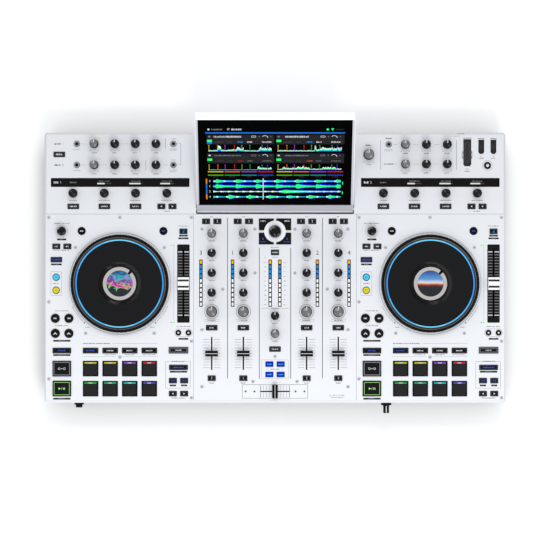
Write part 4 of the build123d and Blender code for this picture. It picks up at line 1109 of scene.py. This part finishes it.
def deck_header(half, row, start, width, high, low):
    """The panel with one track's name, clock and settings."""
    bright, key = (lamp_dim, cue_lamps[3 - 2 * half]) if row else (lamp_white, lamp_sky)
    ui.bar(start + width / 2, (high + low) / 2, width, high - low, ui_panel)
    ui.level = OVER
    ui.label(start + 32, high - 3.6, 36 if half else 42, 2.2 if row else 3.2, bright)
    ui.frame_line(start + 72.5, high - 3.4, 7.6, 3, 1.4, 0.6, bright)
    ui.bar(start + 81, high - 3.4, 1.5, 1.5, lamp_dim, turn=0.78)
    ui.arc(start + 90, high - 6.2, 4.6, 0.8, 35, 145, lamp_white, steps=12)
    ui.bar(start + 94.2, high - 4.2, 1, 2.4, lamp_white)
    ui.bar(start + 99.5, high - 3.4, 1.3, 1.3, lamp_dim)
    ui.bar(start + 4, high - 3.4, 3.2, 2.2, lamp_white if row else lamp_dim)
    ui.block(start + 4.2, high - 11.2, 7.6, 4.2, -INK, 0.1, wave_green)
    if not row and not half:
        ui.block(start + 4.2, high - 15, 7.6, 3.4, -INK, 0.1, ui_blue, 0.6)
    for x, wide, shade in ((19.5, 14, lamp_grey), (35.5, 8, lamp_grey), (52, 9, key), (66.5, 8, bright),
                           (93, 15, bright)):
        ui.label(start + x, low + 4.2, wide, 1.6 if row else 2.4, shade)
    ui.level = 0


def song_overview(half, row, start, width, base, tall, count=130):
    """A whole track's loudness in three colours, with its cue flags."""
    dice = random.Random(50 + half * 7 + row * 3)
    stations = [start + 2 + (width - 6) * i / count for i in range(count + 1)]
    loud = [next(level for share, level in SONGS[half * 2 + row] if i <= share * count) for i in range(count + 1)]
    shape = [tall * level * (0.6 + 0.7 * dice.random()) for level in loud]
    for share, lift, colour in ((1, 0.04, wave_white), (0.66, 0.06, wave_green), (0.3, 0.08, wave_blue)):
        ui.ribbon(stations, base, [h * share for h in shape], 0, lift, colour)
    for place, cue_lamp in zip(CUE_SHARES, cue_lamps):
        ui.bar(start + 2 + width * place, base + tall * 0.55, 0.9, tall * 1.1, cue_lamp, 0.09)
        ui.bar(start + 2 + width * place, base + tall, 1.8, 1.4, cue_lamp, 0.1)


for half, start in enumerate((-105.8, 1.6)):
    width = (104.4, 105.8)[half]
    for row, (high, low, base, tall) in enumerate(((128.6, 111.2, 98, 11), (94.4, 76.8, 64.4, 9))):
        deck_header(half, row, start, width, high, low)
        song_overview(half, row, start, width, base, tall)
    for column in range(4):
        x = start + width * (0.125 + 0.25 * column)
        ui.bar(x, 61.1, width * 0.232, 2, cue_lamps[column])
        ui.bar(x, 54.8, width * 0.232, 2, cue_lamps[4 + column])
        ui.label(x, 51.6, 9, 1.2, lamp_grey)
ui.done("display")

# housing: white shell, face frame and sloped band in grey painted shade, bevelled rear strip, hinge pins
DISPLAY_HALF = 124
GLASS_HALF = 119.5
GLASS_LENGTH = 155
housing = Form("display_shell", glass_plane)
profile = [(-17.5, -19), (-12.5, -24), (153.5, -24), (156.5, -21), (156.5, -1.7), (0, -1.7), (0, -3),
           (-16.7, -3), (-17.5, -3.8)]
eased = inset(profile, 0.8)
housing.skin([[(x, v, w) for v, w in outline] for x, outline in (
    (-DISPLAY_HALF, eased), (0.8 - DISPLAY_HALF, profile), (DISPLAY_HALF - 0.8, profile), (DISPLAY_HALF, eased))],
    white_gloss)
housing.beam(0.3 - DISPLAY_HALF, DISPLAY_HALF - 0.3, ((-14.2, -3.1), (-0.02, -3.1), (-0.02, -0.05), (-14.2, -2.95)),
             slope_band_painted_shade)
for side in (-1, 1):
    housing.block(side * (DISPLAY_HALF + GLASS_HALF) / 2, GLASS_LENGTH / 2, DISPLAY_HALF - GLASS_HALF - 0.1,
                  GLASS_LENGTH, -1.9, -0.1, face_frame_painted_shade, 0.3, 0.25)
    housing.block(side * (DISPLAY_HALF - 0.6), GLASS_LENGTH / 2, 1, GLASS_LENGTH, -1.9, -0.05, white_gloss, 0.3, 0.2)
    housing.beam(*sorted((side * (DISPLAY_HALF - 1), side * (DISPLAY_HALF + 4.8))),
                 moved(circle(3.9, 24), -12.5, -6), steel)
housing.beam(0.6 - DISPLAY_HALF, DISPLAY_HALF - 0.6, ((155, -1.9), (156.5, -1.9), (156.5, -1.55), (155, -0.05)),
             white_gloss)
housing.block(0, -0.62, 2 * GLASS_HALF + 1.6, 1.2, -1.9, -0.04, black_gloss, 0.3, 0.1)
for row in range(5):
    vent = 40 + 14 * row
    housing.beam(-60, 60, ((vent, -24), (vent + 3, -24), (vent + 3, -23.5), (vent, -23.5)), black_plastic)
housing.done("display", ["display_housing"])


# ======================================================== stage and light
def placed(name, data, location=(0, 0, 0)):
    """A new object in the scene."""
    holder = bpy.data.objects.new(name, data)
    bpy.context.scene.collection.objects.link(holder)
    holder.location = location
    return holder


reach = 6
floor_mesh = bpy.data.meshes.new("floor")
floor_mesh.from_pydata([(-reach, -reach, 0), (reach, -reach, 0), (reach, reach, 0), (-reach, reach, 0)], [],
                       [(0, 1, 2, 3)])
floor_mesh.materials.append(surface("floor_paper", (253, 253, 253), 0.9, 0.005, 60, 0))
floor = placed("floor", floor_mesh)

world = bpy.data.worlds.new("studio")
bpy.context.scene.world = world
world.use_nodes = True
world.node_tree.nodes["Background"].inputs["Color"].default_value = (0.96, 0.98, 1, 1)
world.node_tree.nodes["Background"].inputs["Strength"].default_value = 0.93

# two square soft lights aimed at the object
for name, place, power in (("key_front", (0.35, -1.6, 2.6), 19.5), ("key_rear", (0.1, 1.6, 2.6), 17.5)):
    light = bpy.data.lights.new(name, "AREA")
    light.shape = "RECTANGLE"
    light.size = light.size_y = 0.9
    light.energy = power
    aim = Vector((0, 0, 0.05)) - Vector(place)
    placed(name, light, place).rotation_euler = aim.to_track_quat("-Z", "Y").to_euler()

CAMERA_HEIGHT = 3.65  # above the panel
camera = bpy.data.cameras.new("camera")
camera.sensor_width = 36
camera.lens = 154
camera.clip_end = 50
bpy.context.scene.camera = placed("camera", camera, (-7.9 * MM, (CASE_Y - 3.6) * MM, TOP * MM + CAMERA_HEIGHT))
bpy.context.scene.view_settings.view_transform = "Standard"
